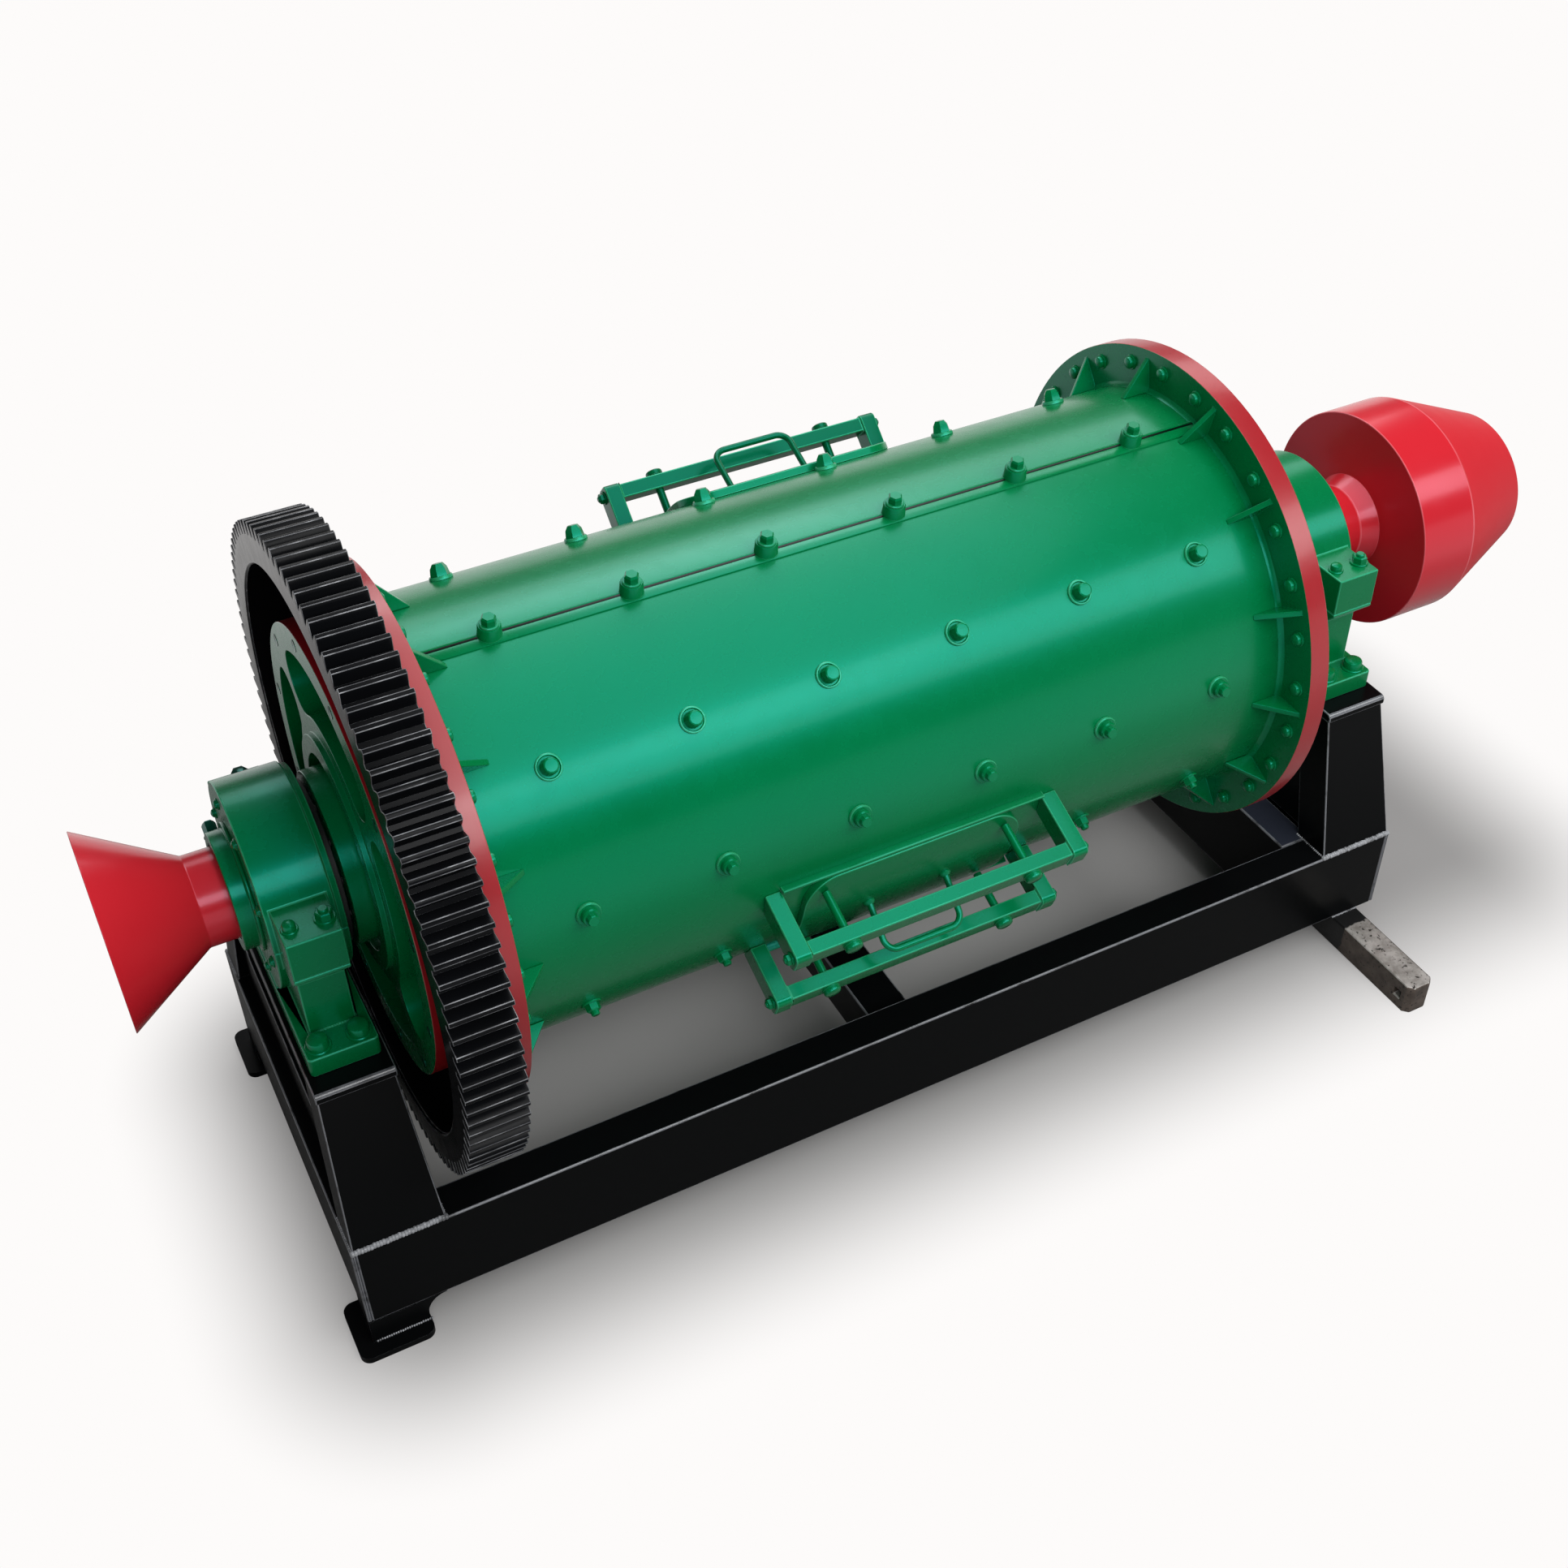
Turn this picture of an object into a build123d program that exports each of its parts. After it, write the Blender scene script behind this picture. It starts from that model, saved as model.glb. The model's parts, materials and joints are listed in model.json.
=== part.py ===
"""Overflow ball mill with a girth gear, a discharge trumpet and a drum feeder.

Millimetres, +Z up, the ground at z = 0. The mill turns about an axis along X:
the gear and the discharge trumpet are at -X, the feeder is at +X.
"""
import math
import os

from build123d import *

# Clearances
RUNNING_GAP = 0.4           # journal in its bearing
SEAL_GAP = 6.0              # turning pieces beside fixed ones
WELD_GAP = 0.3              # curved faces that are welded on
GEAR_CLEARANCE = 44.0       # gear teeth over the inner edges of the rails
SWEEP_CLEARANCE = 36.0      # manhole clamps over the middle cross beam

# Shell, flanges and gussets
SHELL_LENGTH = 1763.0
SHELL_BORE = 900.0
SHELL_PLATE = 14.0
LINER_PLATE = 38.0
LIFTER_COUNT = 10
LIFTER_PHASE = 8.0          # degrees from the top, toward the front
LIFTER_WIDTH = 70.0
LIFTER_HEIGHT = 30.0
FLANGE_HEIGHT = 94.0        # above the shell
FLANGE_PLATE = 24.0
GUSSET_COUNT = 14
GUSSET_LENGTH = 68.0        # along the shell
GUSSET_INSET = 18.0         # below the flange's rim
GUSSET_PLATE = 12.0
GUSSET_PHASE = 14.0         # degrees from the top, toward the front

# Manholes, one low in front and one behind the top
FRONT_HATCH_ANGLE = 113.0   # degrees from the top, toward the front
FRONT_HATCH_SHIFT = -20.0   # from the shell's middle, toward the feed
REAR_HATCH_ANGLE = 312.0
REAR_HATCH_SHIFT = 84.0
MANHOLE_LENGTH = 420.0
MANHOLE_WIDTH = 230.0
MANHOLE_ROUND = 57.0
COVER_LAP = 40.0            # beyond the ends of the manhole
COVER_SIDE_LAP = 30.0       # beyond its long sides
COVER_ROUND = 72.0
COVER_PLATE = 16.0
CLAMP_GAP = 50.0            # cover to the inner face of a clamp's arm
CLAMP_SPREAD = 226.0        # between the two clamp bars of one manhole
CLAMP_HEIGHT = 124.0        # above the shell
BAR_DEPTH = 32.0
BAR_WIDTH = 44.0
ARM_LENGTH = 36.0
ARM_PROUD = 5.0             # arms round the ends of the bar
ARM_ROUND = 14.0
HANDLE_LENGTH = 180.0
HANDLE_HEIGHT = 132.0       # above the shell
HANDLE_ROD = 14.0
HANDLE_BEND = 28.0
HANDLE_LEAN = 20.0          # degrees, downhill

# Girth gear
MODULE = 12.0
TOOTH_COUNT = 110
PRESSURE_ANGLE = 20.0
DEDENDUM = 1.25             # in modules
GEAR_FACE = 120.0
RIM_WALL = 60.0             # under the tooth roots
RIM_CHAMFER = 4.0
GEAR_WEB = 30.0
WEB_GAP = 12.0              # web to the barrel of the head

# Discharge head
SPIGOT_STEP = 90.0          # flange rim down to the barrel
BARREL_LENGTH = 108.0
COLLAR_WALL = 40.0
COLLAR_HEIGHT = 12.0
GROOVE_WIDTH = 25.0         # round the hub, inside the collar
GROOVE_DEPTH = 8.0
DISCHARGE_HUB = 34.0        # hub between the collar and the seal ring
POCKET_COUNT = 4
POCKET_RIM = 58.0           # barrel's edge to the pockets
POCKET_INSET = 35.0         # collar to the pockets
POCKET_SPAN = 62.0          # degrees between a pocket's end centres
POCKET_DEPTH = 84.0

# Feed head
CONE_INSET = 10.0           # inside the shell's bore, where the cone leaves the flange
CONE_LENGTH = 130.0
CONE_WALL = 32.0
FEED_HUB = 67.0             # hub between the cone and the seal ring
RIB_COUNT = 8
RIB_PLATE = 20.0
RIB_INSET = 38.0            # below the flange's rim

# Trunnions
HUB_DIAMETER = 360.0
JOURNAL_DIAMETER = 200.0
JOURNAL_INSET = 6.0         # inside the outer face of the bearing
TRUNNION_BORE = 144.0

# Trumpet and feeder
NECK_DIAMETER = 186.0
TRUMPET_NECK = 57.0         # end cover to the cone
TRUMPET_CONE = 177.0
TRUMPET_MOUTH = 404.0
TRUMPET_PLATE = 6.0
FEEDER_NECK = 156.0         # end cover to the feeder drum
FLARE_DIAMETER = 226.0
FLARE_LENGTH = 40.0
FEEDER_DIAMETER = 524.0
FEEDER_DRUM = 148.0
FEEDER_CONE = 231.0
FEEDER_INLET_DIAMETER = 336.0
FEEDER_INLET_BORE = 240.0
FEEDER_PLATE = 8.0

# Split bearings
HOUSING_DIAMETER = 424.0
HOUSING_WIDTH = 132.0
HOUSING_LIFT = 13.0         # seat plate to the underside of the housing's barrel
RIM_STEP = 7.0
RIM_WIDTH = 14.0
SEAL_DIAMETER = 336.0
SEAL_WIDTH = 14.0
LUG_WIDTH = 108.0
LUG_PROUD = 88.0            # beyond the barrel
FRONT_LUG_HEIGHT = 90.0
REAR_LUG_HEIGHT = 36.0
BASE_LUG_HEIGHT = 8.0       # under the split line, before it slopes in to the pedestal
PEDESTAL_PROUD = 50.0       # beyond the barrel
PEDESTAL_WIDTH = 92.0
SHOE_EAR = 68.0             # beyond the pedestal
SHOE_WIDTH = 140.0
SHOE_HEIGHT = 45.0
SHOE_ROUND = 10.0
COVER_DIAMETER = 240.0
COVER_STEP_RISE = 12.0
COVER_STEP = 7.0
DISCHARGE_COVER = 38.0
FEED_COVER = 14.0

# Frame
FRAME_WIDTH = 948.0
GROUND_CLEARANCE = 84.0     # ground to the underside of the rails
RAIL_HEIGHT = 228.0
RAIL_FLANGE = 82.0
RAIL_WEB = 9.0
RAIL_FLANGE_PLATE = 14.0
FEED_CROSS = 160.0          # feed bearing centre to the cross beam's web
MIDDLE_DROP = 57.0          # below the top of the rails
MIDDLE_WIDTH = 102.0
MIDDLE_HEIGHT = 120.0
MIDDLE_WALL = 8.0
MIDDLE_OFFSET = 4.0         # from the shell's middle, toward the discharge

# Bearing stands
POST_FOOT_WIDTH = 194.0
POST_FOOT_MARGIN = 5.0      # to the end of the frame
POST_FOOT_INSET = 4.0       # from the outer face of the rail
POST_HEAD_WIDTH = 156.0
POST_HEAD_INSET = 5.0       # from the end of the seat plate
POST_DEPTH = 98.0
POST_WALL = 10.0
SEAT_LIP = 3.0              # over the post
SEAT_MARGIN = 50.0          # beyond the bearing's shoe
SEAT_PLATE = 22.0
SEAT_ROUND = 12.0
PANEL_SPREAD = 144.0        # between the outer faces of a stand's two panels
PANEL_PLATE = 12.0
WINDOW_HEIGHT = 94.0
WINDOW_RISE = 17.5          # above the middle of the panel
WINDOW_MARGIN = 17.0        # to the posts, at the window's top
WINDOW_ROUND = 25.0

# Feet
FOOT_LENGTH = 160.0
FOOT_WIDTH = 150.0
FOOT_PLATE = 16.0
FOOT_ROUND = 22.0
FOOT_OVERHANG = 34.0        # beyond the end and the front of the frame
LEG_LENGTH = 124.0
LEG_FILLET = 45.0
SKID_WIDTH = 73.0
SKID_LENGTH = 1520.0
SKID_CHAMFER = 14.0
SKID_OFFSET = 13.0          # from the feed bearing's centre, outward
SKID_HOLE = 22.0
SKID_HOLE_INSET = 40.0

# Radii that follow
SHELL_RADIUS = SHELL_BORE / 2 + SHELL_PLATE
WELDED_RADIUS = SHELL_RADIUS + WELD_GAP
FLANGE_RADIUS = SHELL_RADIUS + FLANGE_HEIGHT
BARREL_RADIUS = FLANGE_RADIUS - SPIGOT_STEP
COVER_CREST = WELDED_RADIUS + COVER_PLATE
CLAMP_CREST = SHELL_RADIUS + CLAMP_HEIGHT
CLAMP_SWEEP = math.hypot(CLAMP_CREST + ARM_PROUD, (CLAMP_SPREAD + BAR_WIDTH) / 2 + ARM_PROUD)
PITCH_RADIUS = MODULE * TOOTH_COUNT / 2
TIP_RADIUS = PITCH_RADIUS + MODULE
ROOT_RADIUS = PITCH_RADIUS - DEDENDUM * MODULE
HUB_RADIUS = HUB_DIAMETER / 2
COLLAR_BORE_RADIUS = HUB_RADIUS + GROOVE_WIDTH
COLLAR_RADIUS = COLLAR_BORE_RADIUS + COLLAR_WALL
JOURNAL_RADIUS = JOURNAL_DIAMETER / 2
BORE_RADIUS = TRUNNION_BORE / 2
NECK_RADIUS = NECK_DIAMETER / 2
HOUSING_RADIUS = HOUSING_DIAMETER / 2

# Reaches that follow, across the frame
LUG_REACH = HOUSING_RADIUS + LUG_PROUD
PEDESTAL_REACH = HOUSING_RADIUS + PEDESTAL_PROUD
SHOE_REACH = PEDESTAL_REACH + SHOE_EAR
SEAT_REACH = SHOE_REACH + SEAT_MARGIN
POST_HEAD_OUTER = SEAT_REACH - POST_HEAD_INSET
RAIL_OUTER = FRAME_WIDTH / 2
RAIL_INNER = RAIL_OUTER - RAIL_FLANGE
POST_FOOT_OUTER = RAIL_OUTER - POST_FOOT_INSET

# Heights that follow: the gear has to clear the rails and the clamps the middle beam
RAIL_BOTTOM = GROUND_CLEARANCE
RAIL_TOP = RAIL_BOTTOM + RAIL_HEIGHT
MIDDLE_TOP = RAIL_TOP - MIDDLE_DROP
TURNING_RADIUS = max(TIP_RADIUS, CLAMP_SWEEP)
AXIS_OVER_RAILS = RAIL_TOP + math.sqrt(TURNING_RADIUS**2 - RAIL_INNER**2) + GEAR_CLEARANCE
AXIS_OVER_BEAM = MIDDLE_TOP + CLAMP_SWEEP + SWEEP_CLEARANCE
AXIS_HEIGHT = max(AXIS_OVER_RAILS, AXIS_OVER_BEAM)
SEAT_TOP = AXIS_HEIGHT - HOUSING_RADIUS - HOUSING_LIFT
SEAT_BOTTOM = SEAT_TOP - SEAT_PLATE
SHOE_TOP = SEAT_TOP + SHOE_HEIGHT

# Stations along X, worked out from the discharge bearing
JOURNAL_END = HOUSING_WIDTH / 2 - JOURNAL_INSET
HUB_END = HOUSING_WIDTH / 2 + RIM_WIDTH + SEAL_WIDTH + SEAL_GAP
HEAD_LENGTH = COLLAR_HEIGHT + BARREL_LENGTH + 2 * FLANGE_PLATE
DISCHARGE_REACH = HUB_END + DISCHARGE_HUB + HEAD_LENGTH
FEED_REACH = 2 * FLANGE_PLATE + CONE_LENGTH + FEED_HUB + HUB_END
BEARING_SPAN = DISCHARGE_REACH + SHELL_LENGTH + FEED_REACH
TRUMPET_REACH = HOUSING_WIDTH / 2 + DISCHARGE_COVER + TRUMPET_NECK + TRUMPET_CONE
FEEDER_START = HOUSING_WIDTH / 2 + FEED_COVER + FEEDER_NECK
FEEDER_REACH = FEEDER_START + FEEDER_DRUM + FEEDER_CONE
FRAME_OVERHANG = POST_FOOT_WIDTH / 2 + POST_FOOT_MARGIN

# Stations along X, from the middle of the overall length
OVERALL_LENGTH = TRUMPET_REACH + BEARING_SPAN + FEEDER_REACH
X_MOUTH = -OVERALL_LENGTH / 2
X_INLET = OVERALL_LENGTH / 2
X_DISCHARGE = X_MOUTH + TRUMPET_REACH
X_FEED = X_DISCHARGE + BEARING_SPAN
X_SHELL_START = X_DISCHARGE + DISCHARGE_REACH
X_SHELL_END = X_SHELL_START + SHELL_LENGTH
X_SHELL_MIDDLE = (X_SHELL_START + X_SHELL_END) / 2
X_FRONT_HATCH = X_SHELL_MIDDLE + FRONT_HATCH_SHIFT
X_REAR_HATCH = X_SHELL_MIDDLE + REAR_HATCH_SHIFT
X_FRAME_START = X_DISCHARGE - FRAME_OVERHANG
X_FRAME_END = X_FEED + FRAME_OVERHANG


def turned(profile):
    """Solid of revolution about the mill's axis from (x, radius) points."""
    points = [(x, 0, r) for x, r in profile]
    face = make_face(Polyline(*points, close=True))
    return Pos(0, 0, AXIS_HEIGHT) * revolve(face, Axis.X)


def block(x_range, y_range, z_range):
    """Box between pairs of coordinates."""
    sizes = [high - low for low, high in (x_range, y_range, z_range)]
    centre = [(low + high) / 2 for low, high in (x_range, y_range, z_range)]
    return Pos(*centre) * Box(*sizes)


def bar_along_x(outline, x_start, length):
    """Prism along X from (y, z) points."""
    face = make_face(Polyline(*[(x_start, y, z) for y, z in outline], close=True))
    return extrude(face, amount=length, dir=(1, 0, 0))


def bar_along_y(outline, y_start, length):
    """Prism along Y from (x, z) points."""
    face = make_face(Polyline(*[(x, y_start, z) for x, z in outline], close=True))
    return extrude(face, amount=length, dir=(0, 1, 0))


def about_axis(shape, angle):
    """Turn a shape made at the top of the drum toward the front by some degrees."""
    return Pos(0, 0, AXIS_HEIGHT) * Rot(angle, 0, 0) * shape


def to_rear(shape):
    """Mirror image of a front piece, at the rear of the frame."""
    return mirror(shape, about=Plane.XZ)


# Shell and its flanges
def cut_manholes(tube):
    """Rounded openings through a tube, at the front and the rear hatch."""
    depth = SHELL_RADIUS
    cutter = Pos(0, 0, depth) * Box(MANHOLE_LENGTH, MANHOLE_WIDTH, depth)
    cutter = fillet(cutter.edges().filter_by(Axis.Z), MANHOLE_ROUND)
    for x_hatch, angle in ((X_FRONT_HATCH, FRONT_HATCH_ANGLE), (X_REAR_HATCH, REAR_HATCH_ANGLE)):
        tube -= about_axis(Pos(x_hatch, 0, 0) * cutter, angle)
    return tube


def make_shell():
    profile = [
        (X_SHELL_START, SHELL_BORE / 2),
        (X_SHELL_END, SHELL_BORE / 2),
        (X_SHELL_END, SHELL_RADIUS),
        (X_SHELL_START, SHELL_RADIUS),
    ]
    return cut_manholes(turned(profile))


def make_liner():
    """Wear plates inside the shell, with lifter bars under the bolt rows."""
    outer = SHELL_BORE / 2 - WELD_GAP
    inner = outer - LINER_PLATE
    profile = [
        (X_SHELL_START, inner),
        (X_SHELL_END, inner),
        (X_SHELL_END, outer),
        (X_SHELL_START, outer),
    ]
    liner = turned(profile)
    lifter = block(
        (X_SHELL_START, X_SHELL_END),
        (-LIFTER_WIDTH / 2, LIFTER_WIDTH / 2),
        (inner - LIFTER_HEIGHT, inner + LINER_PLATE / 2),
    )
    for index in range(LIFTER_COUNT):
        liner += about_axis(lifter, LIFTER_PHASE + index * 360 / LIFTER_COUNT)
    return cut_manholes(liner)


def make_shell_flange(x_face, inward):
    """Ring against the shell's end at x_face, with gussets along the shell."""
    x_out = x_face - inward * FLANGE_PLATE
    profile = [
        (x_face, SHELL_BORE / 2),
        (x_out, SHELL_BORE / 2),
        (x_out, FLANGE_RADIUS),
        (x_face, FLANGE_RADIUS),
    ]
    flange = turned(profile)
    crest = FLANGE_RADIUS - GUSSET_INSET
    outline = [
        (x_face - inward * FLANGE_PLATE / 2, WELDED_RADIUS),
        (x_face + inward * GUSSET_LENGTH, WELDED_RADIUS),
        (x_face, crest),
        (x_face - inward * FLANGE_PLATE / 2, crest),
    ]
    gusset = bar_along_y(outline, -GUSSET_PLATE / 2, GUSSET_PLATE)
    for index in range(GUSSET_COUNT):
        flange += about_axis(gusset, GUSSET_PHASE + index * 360 / GUSSET_COUNT)
    return flange


# Manhole pieces, made at the top of the drum over x = 0 and then moved into place
def make_cover():
    length = MANHOLE_LENGTH + 2 * COVER_LAP
    width = MANHOLE_WIDTH + 2 * COVER_SIDE_LAP
    blank = Rot(0, 90, 0) * Cylinder(COVER_CREST, length)
    blank -= Rot(0, 90, 0) * Cylinder(WELDED_RADIUS, length)
    keep = Pos(0, 0, SHELL_RADIUS) * Box(length, width, SHELL_RADIUS)
    keep = fillet(keep.edges().filter_by(Axis.Z), COVER_ROUND)
    return blank & keep


def make_clamp(side):
    """Bar between two arms; side is +1 for the clamp toward the front."""
    y_middle = -side * CLAMP_SPREAD / 2
    bar_half = BAR_WIDTH / 2
    arm_half = bar_half + ARM_PROUD
    length = MANHOLE_LENGTH + 2 * (COVER_LAP + CLAMP_GAP + ARM_LENGTH)
    clamp = block(
        (-length / 2, length / 2),
        (y_middle - bar_half, y_middle + bar_half),
        (CLAMP_CREST - BAR_DEPTH, CLAMP_CREST),
    )
    arm = block((0, ARM_LENGTH), (y_middle - arm_half, y_middle + arm_half), (0, CLAMP_CREST + ARM_PROUD))
    arm = fillet(arm.edges().filter_by(Axis.X).group_by(Axis.Z)[-1], ARM_ROUND)
    for x_arm in (-length / 2, length / 2 - ARM_LENGTH):
        clamp += Pos(x_arm, 0, 0) * arm
    return clamp - Rot(0, 90, 0) * Cylinder(WELDED_RADIUS, length)


def make_handle(side):
    """Bent rod on a cover, leaning downhill; side is +1 where downhill is toward the front."""
    foot = COVER_CREST + WELD_GAP
    crest = SHELL_RADIUS + HANDLE_HEIGHT - HANDLE_ROD / 2 - foot
    half = HANDLE_LENGTH / 2
    path = FilletPolyline(
        (-half, 0, 0), (-half, 0, crest), (half, 0, crest), (half, 0, 0),
        radius=HANDLE_BEND,
    )
    section = Plane(origin=(-half, 0, 0), z_dir=(0, 0, 1)) * Circle(HANDLE_ROD / 2)
    lift = HANDLE_ROD / 2 * math.sin(math.radians(HANDLE_LEAN))
    return Pos(0, 0, foot + lift) * Rot(side * HANDLE_LEAN, 0, 0) * sweep(section, path)


# Girth gear
def involute(angle):
    return math.tan(angle) - angle


def tooth_half_angle(radius):
    """Half the tooth's angle at a radius, for an involute flank."""
    pressure = math.radians(PRESSURE_ANGLE)
    base_radius = PITCH_RADIUS * math.cos(pressure)
    here = math.acos(base_radius / radius)
    return math.pi / (2 * TOOTH_COUNT) + involute(pressure) - involute(here)


def make_gear():
    """Toothed rim with a web ring that is bolted to the discharge head."""
    radii = (ROOT_RADIUS, PITCH_RADIUS, TIP_RADIUS)
    rim_bore = ROOT_RADIUS - RIM_WALL
    web_bore = BARREL_RADIUS + WEB_GAP
    x_back = X_SHELL_START - 2 * FLANGE_PLATE
    x_front = x_back - GEAR_FACE

    def rim_point(radius, angle):
        return (x_front, radius * math.sin(angle), radius * math.cos(angle))

    edges = []
    pitch = 2 * math.pi / TOOTH_COUNT
    for index in range(TOOTH_COUNT):
        middle = index * pitch
        rising = [rim_point(r, middle - tooth_half_angle(r)) for r in radii]
        falling = [rim_point(r, middle + tooth_half_angle(r)) for r in reversed(radii)]
        next_root = rim_point(radii[0], middle + pitch - tooth_half_angle(radii[0]))
        edges.append(ThreePointArc(*rising))
        edges.append(Line(rising[-1], falling[0]))
        edges.append(ThreePointArc(*falling))
        edges.append(Line(falling[-1], next_root))
    blank = extrude(make_face(edges), amount=GEAR_FACE, dir=(1, 0, 0))
    gear = Pos(0, 0, AXIS_HEIGHT) * blank
    inside = [
        (x_front, 0),
        (x_front, rim_bore + RIM_CHAMFER),
        (x_front + RIM_CHAMFER, rim_bore),
        (x_back - GEAR_WEB, rim_bore),
        (x_back - GEAR_WEB, web_bore),
        (x_back, web_bore),
        (x_back, 0),
    ]
    return gear - turned(inside)


# Heads with their hollow trunnions
def make_pocket(x_face):
    """Kidney-shaped pocket at the top of the head's face."""
    inner = COLLAR_RADIUS + POCKET_INSET
    outer = BARREL_RADIUS - POCKET_RIM
    x_floor = x_face + POCKET_DEPTH
    ring = [(x_face, inner), (x_floor, inner), (x_floor, outer), (x_face, outer)]
    face = make_face(Polyline(*[(x, 0, r) for x, r in ring], close=True))
    pocket = revolve(Rot(-POCKET_SPAN / 2, 0, 0) * face, Axis.X, POCKET_SPAN)
    end = Rot(0, 90, 0) * Cylinder(
        (outer - inner) / 2, POCKET_DEPTH, align=(Align.CENTER, Align.CENTER, Align.MIN)
    )
    for angle in (-POCKET_SPAN / 2, POCKET_SPAN / 2):
        pocket += Rot(angle, 0, 0) * Pos(x_face, 0, (inner + outer) / 2) * end
    return pocket


def make_discharge_head():
    x_inner = X_SHELL_START - FLANGE_PLATE
    x_outer = x_inner - FLANGE_PLATE
    x_face = x_outer - BARREL_LENGTH
    seat = HUB_RADIUS + WELD_GAP
    profile = [
        (x_inner, seat),
        (x_inner, FLANGE_RADIUS),
        (x_outer, FLANGE_RADIUS),
        (x_outer, BARREL_RADIUS),
        (x_face, BARREL_RADIUS),
        (x_face, COLLAR_RADIUS),
        (x_face - COLLAR_HEIGHT, COLLAR_RADIUS),
        (x_face - COLLAR_HEIGHT, COLLAR_BORE_RADIUS),
        (x_face + GROOVE_DEPTH, COLLAR_BORE_RADIUS),
        (x_face + GROOVE_DEPTH, seat),
    ]
    head = turned(profile)
    pocket = make_pocket(x_face)
    for index in range(POCKET_COUNT):
        head -= about_axis(pocket, index * 360 / POCKET_COUNT)
    return head


def make_discharge_trunnion():
    """Hollow shaft in the head's bore, with its hub and journal."""
    x_inner = X_SHELL_START - FLANGE_PLATE
    x_hub = X_DISCHARGE + HUB_END
    x_end = X_DISCHARGE - JOURNAL_END
    profile = [
        (x_inner, BORE_RADIUS),
        (x_inner, HUB_RADIUS),
        (x_hub, HUB_RADIUS),
        (x_hub, JOURNAL_RADIUS),
        (x_end, JOURNAL_RADIUS),
        (x_end, BORE_RADIUS),
    ]
    return turned(profile)


def make_feed_head():
    x_inner = X_SHELL_END + FLANGE_PLATE
    x_outer = x_inner + FLANGE_PLATE
    x_cone = x_outer + CONE_LENGTH
    x_hub = X_FEED - HUB_END
    x_end = X_FEED + JOURNAL_END
    foot = SHELL_BORE / 2 - CONE_INSET
    profile = [
        (x_inner, FLANGE_RADIUS),
        (x_outer, FLANGE_RADIUS),
        (x_outer, foot),
        (x_cone, HUB_RADIUS),
        (x_hub, HUB_RADIUS),
        (x_hub, JOURNAL_RADIUS),
        (x_end, JOURNAL_RADIUS),
        (x_end, BORE_RADIUS),
        (x_cone - CONE_WALL, BORE_RADIUS),
        (x_inner, foot - CONE_WALL),
    ]
    head = turned(profile)
    crest = FLANGE_RADIUS - RIB_INSET
    outline = [
        (x_outer - FLANGE_PLATE / 2, HUB_RADIUS),
        (x_cone, HUB_RADIUS - RIB_PLATE),
        (x_cone, HUB_RADIUS),
        (x_outer, crest),
        (x_outer - FLANGE_PLATE / 2, crest),
    ]
    rib = bar_along_y(outline, -RIB_PLATE / 2, RIB_PLATE)
    hollow = turned(
        [
            (x_inner - FLANGE_PLATE, 0),
            (x_cone - CONE_WALL, 0),
            (x_cone - CONE_WALL, BORE_RADIUS),
            (x_inner, foot - CONE_WALL),
            (x_inner - FLANGE_PLATE, foot - CONE_WALL),
        ]
    )
    for index in range(RIB_COUNT):
        head += about_axis(rib, index * 360 / RIB_COUNT) - hollow
    return head


# Trumpet and feeder
def make_trumpet():
    x_end = X_DISCHARGE - JOURNAL_END
    x_neck = X_MOUTH + TRUMPET_CONE
    profile = [
        (x_end, BORE_RADIUS),
        (x_end, NECK_RADIUS),
        (x_neck, NECK_RADIUS),
        (X_MOUTH, TRUMPET_MOUTH / 2),
        (X_MOUTH, TRUMPET_MOUTH / 2 - TRUMPET_PLATE),
        (x_neck, BORE_RADIUS),
    ]
    return turned(profile)


def make_feeder_neck():
    x_end = X_FEED + JOURNAL_END
    x_drum = X_FEED + FEEDER_START
    profile = [
        (x_end, BORE_RADIUS),
        (x_end, NECK_RADIUS),
        (x_drum - FLARE_LENGTH, NECK_RADIUS),
        (x_drum, FLARE_DIAMETER / 2),
        (x_drum, BORE_RADIUS),
    ]
    return turned(profile)


def make_feeder_drum():
    x_drum = X_FEED + FEEDER_START
    x_shoulder = x_drum + FEEDER_DRUM
    outer = FEEDER_DIAMETER / 2
    inlet = FEEDER_INLET_DIAMETER / 2
    profile = [
        (x_drum, BORE_RADIUS),
        (x_drum, outer),
        (x_shoulder, outer),
        (X_INLET, inlet),
        (X_INLET, FEEDER_INLET_BORE / 2),
        (X_INLET - FEEDER_PLATE, FEEDER_INLET_BORE / 2),
        (X_INLET - FEEDER_PLATE, inlet - FEEDER_PLATE),
        (x_shoulder, outer - FEEDER_PLATE),
        (x_drum + FEEDER_PLATE, outer - FEEDER_PLATE),
        (x_drum + FEEDER_PLATE, BORE_RADIUS),
    ]
    return turned(profile)


# Split bearings; inward is +1 where the drum lies toward +X
def make_barrel(x_bearing, inward):
    """Housing barrel with its rim, before boring."""
    x_back = x_bearing - inward * HOUSING_WIDTH / 2
    x_face = x_bearing + inward * HOUSING_WIDTH / 2
    x_rim = x_face + inward * RIM_WIDTH
    profile = [
        (x_back, 0),
        (x_back, HOUSING_RADIUS),
        (x_face, HOUSING_RADIUS),
        (x_face, HOUSING_RADIUS - RIM_STEP),
        (x_rim, HOUSING_RADIUS - RIM_STEP),
        (x_rim, 0),
    ]
    return turned(profile)


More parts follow.
